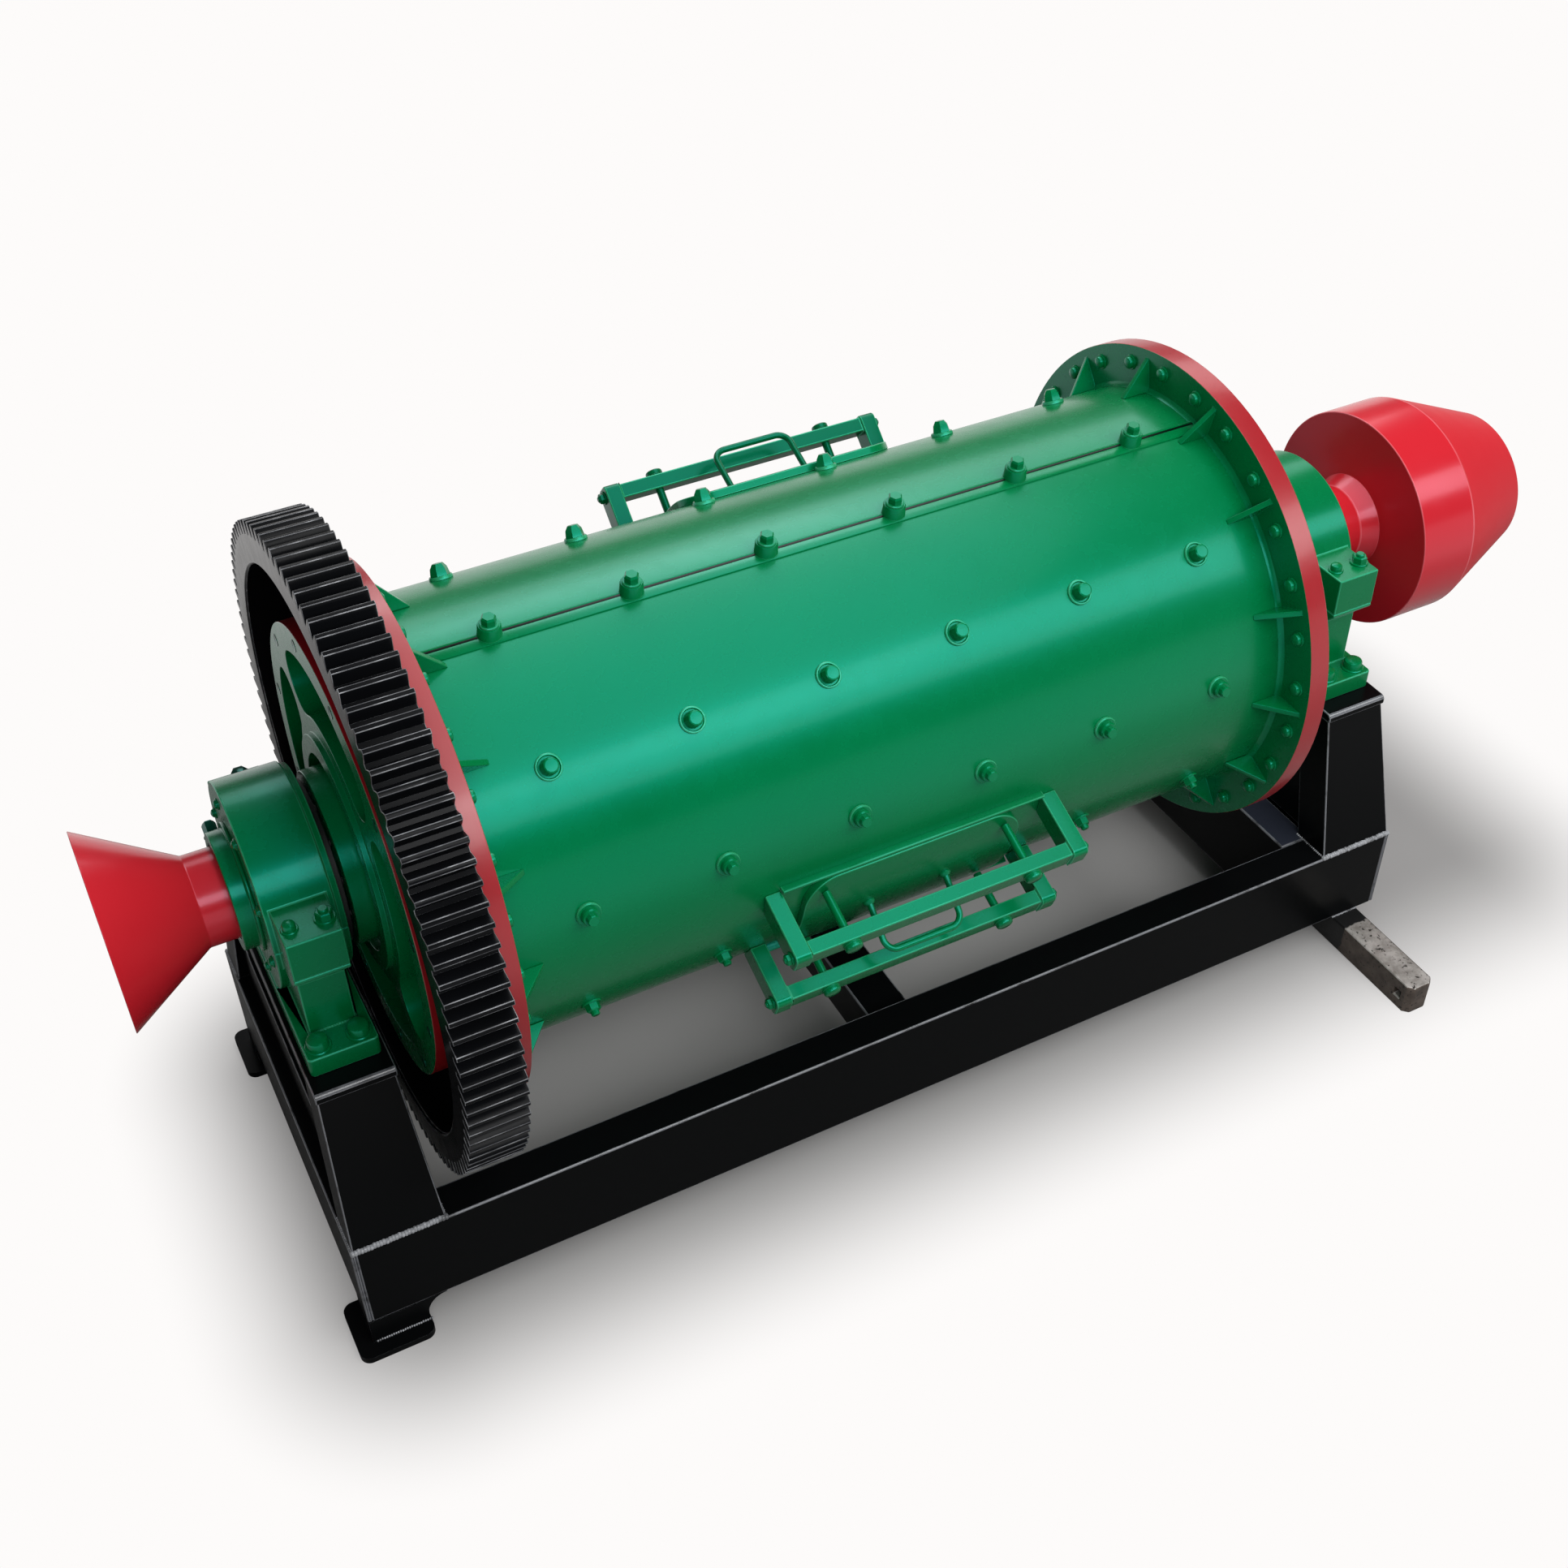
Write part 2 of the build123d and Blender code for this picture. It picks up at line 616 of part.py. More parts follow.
def split_and_bore(housing, x_bearing, z_range):
    """Keep a housing's half within z_range and bore it for the journal."""
    x_range = (x_bearing - HOUSING_WIDTH, x_bearing + HOUSING_WIDTH)
    half = housing & block(x_range, (-SHOE_REACH, SHOE_REACH), z_range)
    bore = turned(
        [
            (x_range[0], 0),
            (x_range[1], 0),
            (x_range[1], JOURNAL_RADIUS + RUNNING_GAP),
            (x_range[0], JOURNAL_RADIUS + RUNNING_GAP),
        ]
    )
    return half - bore


def make_bearing_cap(x_bearing, inward):
    x_range = (x_bearing - LUG_WIDTH / 2, x_bearing + LUG_WIDTH / 2)
    housing = make_barrel(x_bearing, inward)
    for reach, height in ((-LUG_REACH, FRONT_LUG_HEIGHT), (LUG_REACH, REAR_LUG_HEIGHT)):
        y_range = (min(reach, 0), max(reach, 0))
        housing += block(x_range, y_range, (AXIS_HEIGHT, AXIS_HEIGHT + height))
    return split_and_bore(housing, x_bearing, (AXIS_HEIGHT, AXIS_HEIGHT + HOUSING_DIAMETER))


def make_bearing_base(x_bearing, inward):
    shoe = block(
        (x_bearing - SHOE_WIDTH / 2, x_bearing + SHOE_WIDTH / 2),
        (-SHOE_REACH, SHOE_REACH),
        (SEAT_TOP, SHOE_TOP),
    )
    shoe = fillet(shoe.edges().filter_by(Axis.Z), SHOE_ROUND)
    pedestal = block(
        (x_bearing - PEDESTAL_WIDTH / 2, x_bearing + PEDESTAL_WIDTH / 2),
        (-PEDESTAL_REACH, PEDESTAL_REACH),
        (SHOE_TOP, AXIS_HEIGHT),
    )
    z_lug = AXIS_HEIGHT - BASE_LUG_HEIGHT
    z_slope = z_lug - (LUG_REACH - PEDESTAL_REACH)
    outline = [
        (-LUG_REACH, AXIS_HEIGHT),
        (LUG_REACH, AXIS_HEIGHT),
        (LUG_REACH, z_lug),
        (PEDESTAL_REACH, z_slope),
        (-PEDESTAL_REACH, z_slope),
        (-LUG_REACH, z_lug),
    ]
    lugs = bar_along_x(outline, x_bearing - LUG_WIDTH / 2, LUG_WIDTH)
    housing = shoe + pedestal + lugs + make_barrel(x_bearing, inward)
    return split_and_bore(housing, x_bearing, (SEAT_TOP, AXIS_HEIGHT))


def make_end_cover(x_bearing, inward, length):
    """Stepped cover on the outer face of a housing."""
    x_face = x_bearing - inward * HOUSING_WIDTH / 2
    x_step = x_face - inward * COVER_STEP
    x_end = x_face - inward * length
    bore = NECK_RADIUS + SEAL_GAP
    outer = COVER_DIAMETER / 2
    profile = [
        (x_face, bore),
        (x_face, outer + COVER_STEP_RISE),
        (x_step, outer + COVER_STEP_RISE),
        (x_step, outer),
        (x_end, outer),
        (x_end, bore),
    ]
    return turned(profile)


def make_seal_ring(x_bearing, inward):
    x_rim = x_bearing + inward * (HOUSING_WIDTH / 2 + RIM_WIDTH)
    x_end = x_rim + inward * SEAL_WIDTH
    bore = JOURNAL_RADIUS + SEAL_GAP
    profile = [
        (x_rim, bore),
        (x_rim, SEAL_DIAMETER / 2),
        (x_end, SEAL_DIAMETER / 2),
        (x_end, bore),
    ]
    return turned(profile)


# Frame of rolled channels
def channel_outline(outer, inner):
    """Channel section between two horizontal coordinates, its web at the outer one."""
    toward = math.copysign(1, inner - outer)
    web = outer + toward * RAIL_WEB
    return [
        (outer, RAIL_BOTTOM),
        (inner, RAIL_BOTTOM),
        (inner, RAIL_BOTTOM + RAIL_FLANGE_PLATE),
        (web, RAIL_BOTTOM + RAIL_FLANGE_PLATE),
        (web, RAIL_TOP - RAIL_FLANGE_PLATE),
        (inner, RAIL_TOP - RAIL_FLANGE_PLATE),
        (inner, RAIL_TOP),
        (outer, RAIL_TOP),
    ]


def make_rail():
    x_start = X_FRAME_START + RAIL_WEB
    length = X_FRAME_END - RAIL_WEB - x_start
    return bar_along_x(channel_outline(-RAIL_OUTER, -RAIL_INNER), x_start, length)


def make_cross_beam(x_web, toward):
    """Channel between the rails, its web at x_web and its flanges toward +X or -X."""
    outline = channel_outline(x_web, x_web + toward * RAIL_FLANGE)
    return bar_along_y(outline, -RAIL_INNER, 2 * RAIL_INNER)


def make_end_beam(x_web, toward):
    """Cross beam whose web also closes the ends of the rails."""
    x_inside = x_web + toward * RAIL_WEB
    plate = block(
        (min(x_web, x_inside), max(x_web, x_inside)),
        (-RAIL_OUTER, RAIL_OUTER),
        (RAIL_BOTTOM, RAIL_TOP),
    )
    return make_cross_beam(x_web, toward) + plate


def make_middle_beam():
    """Box section between the rail webs, low enough for the manhole clamps to pass."""
    x_middle = X_SHELL_MIDDLE - MIDDLE_OFFSET
    reach = RAIL_OUTER - RAIL_WEB
    beam = block(
        (x_middle - MIDDLE_WIDTH / 2, x_middle + MIDDLE_WIDTH / 2),
        (-reach, reach),
        (MIDDLE_TOP - MIDDLE_HEIGHT, MIDDLE_TOP),
    )
    hollow = block(
        (x_middle - MIDDLE_WIDTH / 2 + MIDDLE_WALL, x_middle + MIDDLE_WIDTH / 2 - MIDDLE_WALL),
        (-reach, reach),
        (MIDDLE_TOP - MIDDLE_HEIGHT + MIDDLE_WALL, MIDDLE_TOP - MIDDLE_WALL),
    )
    return beam - hollow


# Bearing stands
def post_section(x_bearing, width, outer, height, wall):
    """Rectangle of a post at one height, drawn in by a wall."""
    middle = -outer + POST_DEPTH / 2
    plane = Plane(origin=(x_bearing, middle, height), z_dir=(0, 0, 1))
    return plane * Rectangle(width - 2 * wall, POST_DEPTH - 2 * wall)


def make_post(x_bearing):
    """Tapered box column that leans in from the rail to the bearing seat."""
    bodies = []
    for wall in (0.0, POST_WALL):
        foot = post_section(x_bearing, POST_FOOT_WIDTH, POST_FOOT_OUTER, RAIL_TOP, wall)
        head = post_section(x_bearing, POST_HEAD_WIDTH, POST_HEAD_OUTER, SEAT_BOTTOM, wall)
        bodies.append(loft([foot, head], ruled=True))
    return bodies[0] - bodies[1]


def make_seat(x_bearing):
    half = POST_HEAD_WIDTH / 2 + SEAT_LIP
    seat = block(
        (x_bearing - half, x_bearing + half),
        (-SEAT_REACH, SEAT_REACH),
        (SEAT_BOTTOM, SEAT_TOP),
    )
    top_edges = seat.edges().filter_by(Axis.X).group_by(Axis.Z)[-1]
    return fillet(top_edges, SEAT_ROUND)


def make_panel(x_outer, toward):
    """Plate between a stand's posts, with a rounded window."""
    foot = POST_FOOT_OUTER - POST_DEPTH
    head = POST_HEAD_OUTER - POST_DEPTH
    outline = [(-foot, RAIL_TOP), (foot, RAIL_TOP), (head, SEAT_BOTTOM), (-head, SEAT_BOTTOM)]
    panel = bar_along_x(outline, min(x_outer, x_outer + toward * PANEL_PLATE), PANEL_PLATE)
    window_middle = (RAIL_TOP + SEAT_BOTTOM) / 2 + WINDOW_RISE
    window_top = window_middle + WINDOW_HEIGHT / 2
    lean = (foot - head) / (SEAT_BOTTOM - RAIL_TOP)
    half = foot - lean * (window_top - RAIL_TOP) - WINDOW_MARGIN
    window = block(
        (x_outer - PANEL_PLATE, x_outer + PANEL_PLATE),
        (-half, half),
        (window_top - WINDOW_HEIGHT, window_top),
    )
    window = fillet(window.edges().filter_by(Axis.X), WINDOW_ROUND)
    return panel - window


# Feet
def make_foot():
    """Short leg under the rail's end, on a rounded plate."""
    x_start = X_FRAME_START
    x_end = x_start + LEG_LENGTH
    turn = x_end + LEG_FILLET * (1 - math.sqrt(0.5))
    bend = RAIL_BOTTOM - LEG_FILLET * (1 - math.sqrt(0.5))
    y_start = -RAIL_OUTER
    straight = Polyline(
        (x_end + LEG_FILLET, y_start, RAIL_BOTTOM),
        (x_start, y_start, RAIL_BOTTOM),
        (x_start, y_start, FOOT_PLATE),
        (x_end, y_start, FOOT_PLATE),
        (x_end, y_start, RAIL_BOTTOM - LEG_FILLET),
    )
    curve = ThreePointArc(
        (x_end, y_start, RAIL_BOTTOM - LEG_FILLET),
        (turn, y_start, bend),
        (x_end + LEG_FILLET, y_start, RAIL_BOTTOM),
    )
    leg = extrude(make_face([*straight.edges(), curve]), amount=RAIL_FLANGE, dir=(0, 1, 0))
    plate = block(
        (x_start - FOOT_OVERHANG, x_start - FOOT_OVERHANG + FOOT_LENGTH),
        (-RAIL_OUTER - FOOT_OVERHANG, -RAIL_OUTER - FOOT_OVERHANG + FOOT_WIDTH),
        (0, FOOT_PLATE),
    )
    plate = fillet(plate.edges().filter_by(Axis.Z), FOOT_ROUND)
    return leg + plate


def make_skid():
    """Square bar across the frame, its ends chamfered and drilled for a tow pin."""
    x_middle = X_FEED + SKID_OFFSET
    skid = block(
        (x_middle - SKID_WIDTH / 2, x_middle + SKID_WIDTH / 2),
        (-SKID_LENGTH / 2, SKID_LENGTH / 2),
        (0, RAIL_BOTTOM),
    )
    skid = chamfer(skid.edges().filter_by(Axis.Z), SKID_CHAMFER)
    for side in (-1, 1):
        y_hole = side * (SKID_LENGTH / 2 - SKID_HOLE_INSET)
        skid -= Pos(x_middle, y_hole, RAIL_BOTTOM / 2) * Box(SKID_WIDTH, SKID_HOLE, SKID_HOLE)
    return skid


def make_parts():
    parts = {}
    rail = make_rail()
    parts["front_rail"] = rail
    parts["rear_rail"] = to_rear(rail)
    parts["discharge_end_beam"] = make_end_beam(X_FRAME_START, 1)
    parts["discharge_cross_beam"] = make_cross_beam(X_DISCHARGE + FRAME_OVERHANG, -1)
    parts["middle_cross_beam"] = make_middle_beam()
    parts["feed_cross_beam"] = make_cross_beam(X_FEED - FEED_CROSS, 1)
    parts["feed_end_beam"] = make_end_beam(X_FRAME_END, -1)
    foot = make_foot()
    parts["front_foot"] = foot
    parts["rear_foot"] = to_rear(foot)
    parts["feed_skid"] = make_skid()
    covers = {"discharge": DISCHARGE_COVER, "feed": FEED_COVER}
    for end, x_bearing, inward in (("discharge", X_DISCHARGE, 1), ("feed", X_FEED, -1)):
        post = make_post(x_bearing)
        parts[end + "_front_post"] = post
        parts[end + "_rear_post"] = to_rear(post)
        parts[end + "_seat_plate"] = make_seat(x_bearing)
        x_panel = x_bearing + inward * PANEL_SPREAD / 2
        parts[end + "_inner_panel"] = make_panel(x_panel, -inward)
        x_panel = x_bearing - inward * PANEL_SPREAD / 2
        parts[end + "_outer_panel"] = make_panel(x_panel, inward)
        parts[end + "_bearing_base"] = make_bearing_base(x_bearing, inward)
        parts[end + "_bearing_cap"] = make_bearing_cap(x_bearing, inward)
        parts[end + "_end_cover"] = make_end_cover(x_bearing, inward, covers[end])
        parts[end + "_seal_ring"] = make_seal_ring(x_bearing, inward)
    parts["shell"] = make_shell()
    parts["shell_liner"] = make_liner()
    parts["discharge_flange"] = make_shell_flange(X_SHELL_START, 1)
    parts["feed_flange"] = make_shell_flange(X_SHELL_END, -1)
    parts["girth_gear"] = make_gear()
    parts["discharge_head"] = make_discharge_head()
    parts["discharge_trunnion"] = make_discharge_trunnion()
    parts["feed_head"] = make_feed_head()
    parts["discharge_trumpet"] = make_trumpet()
    parts["feeder_neck"] = make_feeder_neck()
    parts["feeder_drum"] = make_feeder_drum()
    front_pieces = {
        "front_manhole_cover": make_cover(),
        "front_upper_clamp": make_clamp(-1),
        "front_lower_clamp": make_clamp(1),
        "front_handle": make_handle(1),
    }
    for name, piece in front_pieces.items():
        parts[name] = about_axis(Pos(X_FRONT_HATCH, 0, 0) * piece, FRONT_HATCH_ANGLE)
    rear_pieces = {
        "rear_manhole_cover": make_cover(),
        "rear_clamp": make_clamp(-1),
        "rear_handle": make_handle(-1),
    }
    for name, piece in rear_pieces.items():
        parts[name] = about_axis(Pos(X_REAR_HATCH, 0, 0) * piece, REAR_HATCH_ANGLE)
    return parts


os.makedirs("parts", exist_ok=True)
for node, shape in make_parts().items():
    export_step(shape, f"parts/{node}.step")
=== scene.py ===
"""Ball mill: paint, fasteners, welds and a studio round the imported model."""
import json
import math

import bmesh
import bpy
from mathutils import Matrix, Vector

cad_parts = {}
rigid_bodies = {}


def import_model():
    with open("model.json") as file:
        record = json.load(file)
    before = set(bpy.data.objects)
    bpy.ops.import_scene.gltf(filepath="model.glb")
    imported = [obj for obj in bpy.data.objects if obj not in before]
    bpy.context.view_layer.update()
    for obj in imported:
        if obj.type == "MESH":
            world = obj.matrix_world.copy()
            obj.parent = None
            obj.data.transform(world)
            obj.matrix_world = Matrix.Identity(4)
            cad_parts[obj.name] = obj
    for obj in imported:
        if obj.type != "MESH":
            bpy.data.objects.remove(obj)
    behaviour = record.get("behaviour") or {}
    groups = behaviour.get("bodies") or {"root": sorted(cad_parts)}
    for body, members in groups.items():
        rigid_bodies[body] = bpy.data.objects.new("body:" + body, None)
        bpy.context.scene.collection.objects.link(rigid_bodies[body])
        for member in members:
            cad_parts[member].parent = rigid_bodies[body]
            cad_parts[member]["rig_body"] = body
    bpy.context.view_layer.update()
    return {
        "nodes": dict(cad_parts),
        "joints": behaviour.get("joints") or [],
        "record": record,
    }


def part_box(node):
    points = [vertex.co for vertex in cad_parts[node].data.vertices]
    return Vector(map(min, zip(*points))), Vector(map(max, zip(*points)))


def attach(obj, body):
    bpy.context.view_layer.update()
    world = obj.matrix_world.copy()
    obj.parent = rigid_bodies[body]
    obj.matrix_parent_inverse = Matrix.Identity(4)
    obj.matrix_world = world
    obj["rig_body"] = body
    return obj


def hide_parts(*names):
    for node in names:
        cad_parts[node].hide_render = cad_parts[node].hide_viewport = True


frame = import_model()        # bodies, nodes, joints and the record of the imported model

bl_info = {
    "name": "Ball mill finish",
    "version": (1, 0, 0),
    "blender": (4, 5, 0),
    "location": "View3D > Sidebar > Mill",
    "description": "Paints a packed ball mill, fastens and welds its pieces and lights it in a studio",
    "category": "Object",
}

MM = 0.001
FULL_TURN = 360.0
SHARP = math.radians(28)
SLOTS = {part["node"]: part["material_slot"] for part in frame["record"]["subparts"]}

# Places read from the frame, in metres
AXIS = frame["joints"][0]["pos_m"][2]
SHELL_LOW, SHELL_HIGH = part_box("shell")
SHELL_RADIUS = (SHELL_HIGH.z - SHELL_LOW.z) / 2
SHELL_MIDDLE = (SHELL_LOW.x + SHELL_HIGH.x) / 2
FLANGE_LOW, FLANGE_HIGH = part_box("discharge_flange")
FLANGE_RADIUS = (FLANGE_HIGH.z - FLANGE_LOW.z) / 2
FLANGE_PLATE = SHELL_LOW.x - FLANGE_LOW.x
RAIL_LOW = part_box("front_rail")[0]
SKID_LOW, SKID_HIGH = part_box("feed_skid")

# Turned pieces: distance from the end nearest the discharge and radius, in millimetres
TURNED = {
    "discharge_trumpet": [(278, 72), (278, 93), (177, 93), (0, 202), (0, 196), (177, 72)],
    "feeder_neck": [(0, 72), (0, 93), (136, 93), (176, 113), (176, 72)],
    "feeder_drum": [
        (0, 72), (0, 262), (148, 262), (379, 168), (379, 120),
        (371, 120), (371, 160), (148, 254), (8, 254), (8, 72)],
    "discharge_trunnion": [(338, 72), (338, 180), (160, 180), (160, 100), (0, 100), (0, 72)],
    "feed_head": [
        (0, 558), (24, 558), (24, 440), (154, 180), (221, 180),
        (221, 100), (381, 100), (381, 72), (122, 72), (0, 408)],
    "discharge_end_cover": [(38, 99), (38, 132), (31, 132), (31, 120), (0, 120), (0, 99)],
    "feed_end_cover": [(0, 99), (0, 132), (7, 132), (7, 120), (14, 120), (14, 99)],
    "discharge_seal_ring": [(0, 106), (0, 168), (14, 168), (14, 106)],
    "feed_seal_ring": [(0, 106), (0, 168), (14, 168), (14, 106)],
}

# Layout of the drum, its angles in degrees from the top toward the front
SEAM_ROW = 9.0
LINER_ROWS, LINER_STATIONS = 10, 6
GUSSET_START = 14.0
FLANGE_BOLTS = 28
CORE_HOLES = 12
CORE_CIRCLE = 441 * MM
FACE_RECESS = 12 * MM
BARREL_DROP = 92 * MM
RIM_DEPTH = 2 * MM

# Strips along the seam: width, height, offset across and rounding, in millimetres; the joint strip is near
# black, a painted shade of the groove
SEAM_STRIPS = {
    "seam_strip": (26, 5, -14, 2.0),
    "shell_plate_shaded_joint": (7, 6, 0, 1.0),
    "shell_plate_lap": (6, 8, 5, 2.5),
}
# Fillet weld at a flange: distance from it and height over the shell, in millimetres
FILLET = [(0, -2), (9, -2), (9, 0.6), (5, 3), (2.5, 6), (0, 10)]

# Manholes: angle, and how far each clamp bar lies from the middle line in millimetres
HATCHES = {"front": (113.0, (113, -113)), "rear": (312.0, (113,))}
HATCH_SWING = 20.0
HATCH_REACH = 110 * MM
# Clamps, screws and strips of a manhole in millimetres; a crest is a radius from the mill's axis
BAR_CREST = 588.0
BAR_DEPTH = 32.0
COVER_CREST = 480.3
SCREW_REACH = 208.0
SCREW_BITE, SCREW_LAP = 10, 12
PIN_REACH = 86
HANDLE_REACH = 90
STRIP_LAP = 104
STRIP_SECTION = (7, 22)
STRIP_ACROSS = 146
STRIP_RISE = 5

# Bearings in millimetres, from the middle of a housing or the edge of its casting
LUG_PLUG = 8
LUG_INSET, LUG_BOLTS = 44, 33
TOE_INSET, TOE_BOLTS = 32, 40
FILLET_INSET, FILLET_REACH = 68, 46
HOUSING_FACE, HOUSING_CIRCLE, HOUSING_BOLTS = 66, 172, 8
SEAL_CIRCLE, SEAL_BOLTS = 146, 12

# Plugs: distance along the mill in millimetres, angle in degrees, radius in millimetres
HOUSING_PLUG = (73, -68, 203)
COVER_PLUG = (16, -63, 118)

# Weld beads: radius and pitch in millimetres
FRONT_BEAD = (7.0, 6.5)
SIDE_BEAD = (3.0, 5.5)
TOE_BEAD = (3.0, 5.0)
# Lengths on the frame that welds and overspray follow, in metres
FOOT_PLATE = 17 * MM
FOOT_WELD = 118 * MM
POST_DEPTH = 98 * MM
PAINT_LAP = 58 * MM

# Stage, in metres, degrees and watts: each lamp's place, target, size and power
LAMPS = {
    "Overhead softbox": ((1.0, 0.0, 5.2), (0.2, 0.0, 0.6), (10.4, 3.0), 238),
    "Front softbox": ((0.7, -4.0, 4.1), (-0.1, 0.0, 0.8), (10.4, 1.8), 262),
    "Rear softbox": ((1.8, 4.0, 4.65), (0.3, 0.0, 0.9), (6.5, 2.2), 105),
}
# The camera's azimuth, elevation and roll, its place from the mill's axis, and its lens in millimetres
CAMERA_ANGLES = (-26.657, 40.588, -1.117)
CAMERA_PLACE = (-1.6709, -2.8567, 2.5197)
CAMERA_LENS, CAMERA_SENSOR = 43.55, 36.0
# The floor is matt grey round the mill, a painted shadow besides the lamps' own, and turns white over
# these distances
FLOOR_REACH = 300.0
SHADOW_MIDDLE, SHADOW_CORE = (0.12, 0.0, 0.0), (1.4, 0.36, 0.0)
SHADOW_FADE, MIRROR_FADE = (0.0, 0.55), (1.0, 2.5)
# Slope over the horizon at which the mirrored backdrop ends
BACKDROP_FADE = (0.06, 0.13)
BACKDROP = "FDFBFA"

# Least rise of the normal of a face that looks up
UPWARD = 0.7
FINE_STEPS = 112
MERGE = 0.01 * MM
# Colour sockets of a Mix node
MIX_FIRST, MIX_SECOND, MIX_COLOUR = 6, 7, 2


# Shared helpers
def linear(code):
    """Linear colour of an sRGB hex value."""
    channels = [int(code[i:i + 2], 16) / 255 for i in (0, 2, 4)]
    return [c / 12.92 if c <= 0.04045 else ((c + 0.055) / 1.055) ** 2.4 for c in channels]


def colour(rgb):
    return (*rgb, 1.0)


def feed(tree, node, inputs):
    """Give each input its value or the socket that feeds it."""
    for name, value in inputs.items():
        if isinstance(value, bpy.types.NodeSocket):
            tree.links.new(value, node.inputs[name])
        else:
            node.inputs[name].default_value = value


def add_node(tree, kind, inputs=None, **settings):
    """Add a node with its settings and inputs."""
    node = tree.nodes.new(kind)
    for name, value in settings.items():
        setattr(node, name, value)
    feed(tree, node, inputs or {})
    return node


def start_material(name):
    """Empty material with its tree and a Principled shader that is already wired."""
    material = bpy.data.materials.new(name)
    material.use_nodes = True
    tree = material.node_tree
    tree.nodes.clear()
    shader = add_node(tree, "ShaderNodeBsdfPrincipled")
    add_node(tree, "ShaderNodeOutputMaterial", {"Surface": shader.outputs["BSDF"]})
    return material, tree, shader


def object_place(tree):
    return add_node(tree, "ShaderNodeTexCoord").outputs["Object"]


def noise(tree, place, size, detail, **inputs):
    """Noise with features about this many millimetres wide."""
    inputs.update(Vector=place, Scale=1 / (size * MM), Detail=detail)
    return add_node(tree, "ShaderNodeTexNoise", inputs).outputs["Fac"]


def blend(tree, factor, first, second):
    """Colour between two, by a factor."""
    inputs = {"Factor": factor, MIX_FIRST: first, MIX_SECOND: second}
    return add_node(tree, "ShaderNodeMix", inputs, data_type="RGBA").outputs[MIX_COLOUR]


def ramp(tree, value, source, target=(0.0, 1.0), **settings):
    """Value taken from one range to another and held at its ends."""
    ends = {"From Min": source[0], "From Max": source[1], "To Min": target[0], "To Max": target[1]}
    node = add_node(tree, "ShaderNodeMapRange", {"Value": value, **ends}, **settings)
    return node.outputs["Result"]


def maths(tree, operation, *terms, kind="ShaderNodeMath", result="Value"):
    """Result of an operation on numbers or sockets."""
    return add_node(tree, kind, dict(enumerate(terms)), operation=operation).outputs[result]


def vectors(tree, operation, *terms, result="Vector"):
    """Result of an operation on vectors or sockets."""
    return maths(tree, operation, *terms, kind="ShaderNodeVectorMath", result=result)


def relief(tree, height, strength, depth):
    """Normal bumped by a height; depth in millimetres."""
    inputs = {"Height": height, "Strength": strength, "Distance": depth * MM}
    return add_node(tree, "ShaderNodeBump", inputs).outputs["Normal"]


def around(x, angle, radius, across=0.0):
    """Place on the drum: local Z points outward and local X along the mill."""
    turn = Matrix.Rotation(math.radians(angle), 4, "X")
    return Matrix.Translation((x, 0, AXIS)) @ turn @ Matrix.Translation((0, across, radius))


def facing(place, direction):
    """Turn a place so that its local Z points along +X or -X."""
    return place @ Matrix.Rotation(direction * math.pi / 2, 4, "Y")


def on_circle(x, angle, radius, direction):
    """Place at a radius from the mill's axis whose local Z points along +X or -X."""
    return facing(around(x, angle, radius), direction)


def bolt_circle(x, count, start, radius, direction):
    """Places spaced evenly on a circle about the mill's axis, from a start in degrees."""
    return [on_circle(x, start + k * FULL_TURN / count, radius, direction) for k in range(count)]


def upright(x, y, z):
    return Matrix.Translation((x, y, z))


def shade(shape):
    """Smooth faces that meet at a sharp line where their angle is large."""
    for face in shape.faces:
        face.smooth = True
    for edge in shape.edges:
        edge.smooth = edge.calc_face_angle(0.0) < SHARP


def revolved(points, pairs, centre, axis, steps):
    """Skin swept once round an axis by the lines that join pairs of points."""
    shape = bmesh.new()
    verts = [shape.verts.new(point) for point in points]
    edges = [shape.edges.new((verts[a], verts[b])) for a, b in pairs]
    bmesh.ops.spin(
        shape, geom=verts + edges, cent=centre, axis=axis, dvec=(0, 0, 0),
        angle=math.tau, steps=steps, use_merge=True, use_duplicate=False,
    )
    bmesh.ops.remove_doubles(shape, verts=shape.verts, dist=MERGE)
    bmesh.ops.recalc_face_normals(shape, faces=shape.faces)
    return shape


def spun(profile, steps, lip=None):
    """Shape spun about local Z from (radius, height) points in millimetres.

    Faces beyond the lip's radius take the second material.
    """
    points = [(r * MM, 0, z * MM) for r, z in profile]
    pairs = [(k, k + 1) for k in range(len(points) - 1)]
    shape = revolved(points, pairs, (0, 0, 0), (0, 0, 1), steps)
    shade(shape)
    for face in shape.faces:
        middle = face.calc_center_median()
        face.material_index = int(bool(lip) and math.hypot(middle.x, middle.y) > lip * MM)
    return shape


def lathe(start, profile):
    """Ring turned about the mill's axis from (distance, radius) points in millimetres."""
    points = [(start + x * MM, 0, AXIS + r * MM) for x, r in profile]
    pairs = [(k, (k + 1) % len(points)) for k in range(len(points))]
    return revolved(points, pairs, (0, 0, AXIS), (1, 0, 0), FINE_STEPS)


def add_copy(shape, other, place=None):
    """Copy another shape into this one at a place."""
    mesh = bpy.data.meshes.new("copy")
    other.to_mesh(mesh)
    start = len(shape.verts)
    shape.from_mesh(mesh)
    bpy.data.meshes.remove(mesh)
    shape.verts.ensure_lookup_table()
    bmesh.ops.transform(shape, matrix=place or Matrix.Identity(4), verts=shape.verts[start:])


def stacked(*units):
    """One shape from several that share their place."""
    shape = units[0]
    for unit in units[1:]:
        add_copy(shape, unit)
        unit.free()
    return shape


def repeated(unit, places):
    """Joined copies of a unit shape, one at each place."""
    shape = bmesh.new()
    for place in places:
        add_copy(shape, unit, place)
    unit.free()
    return shape


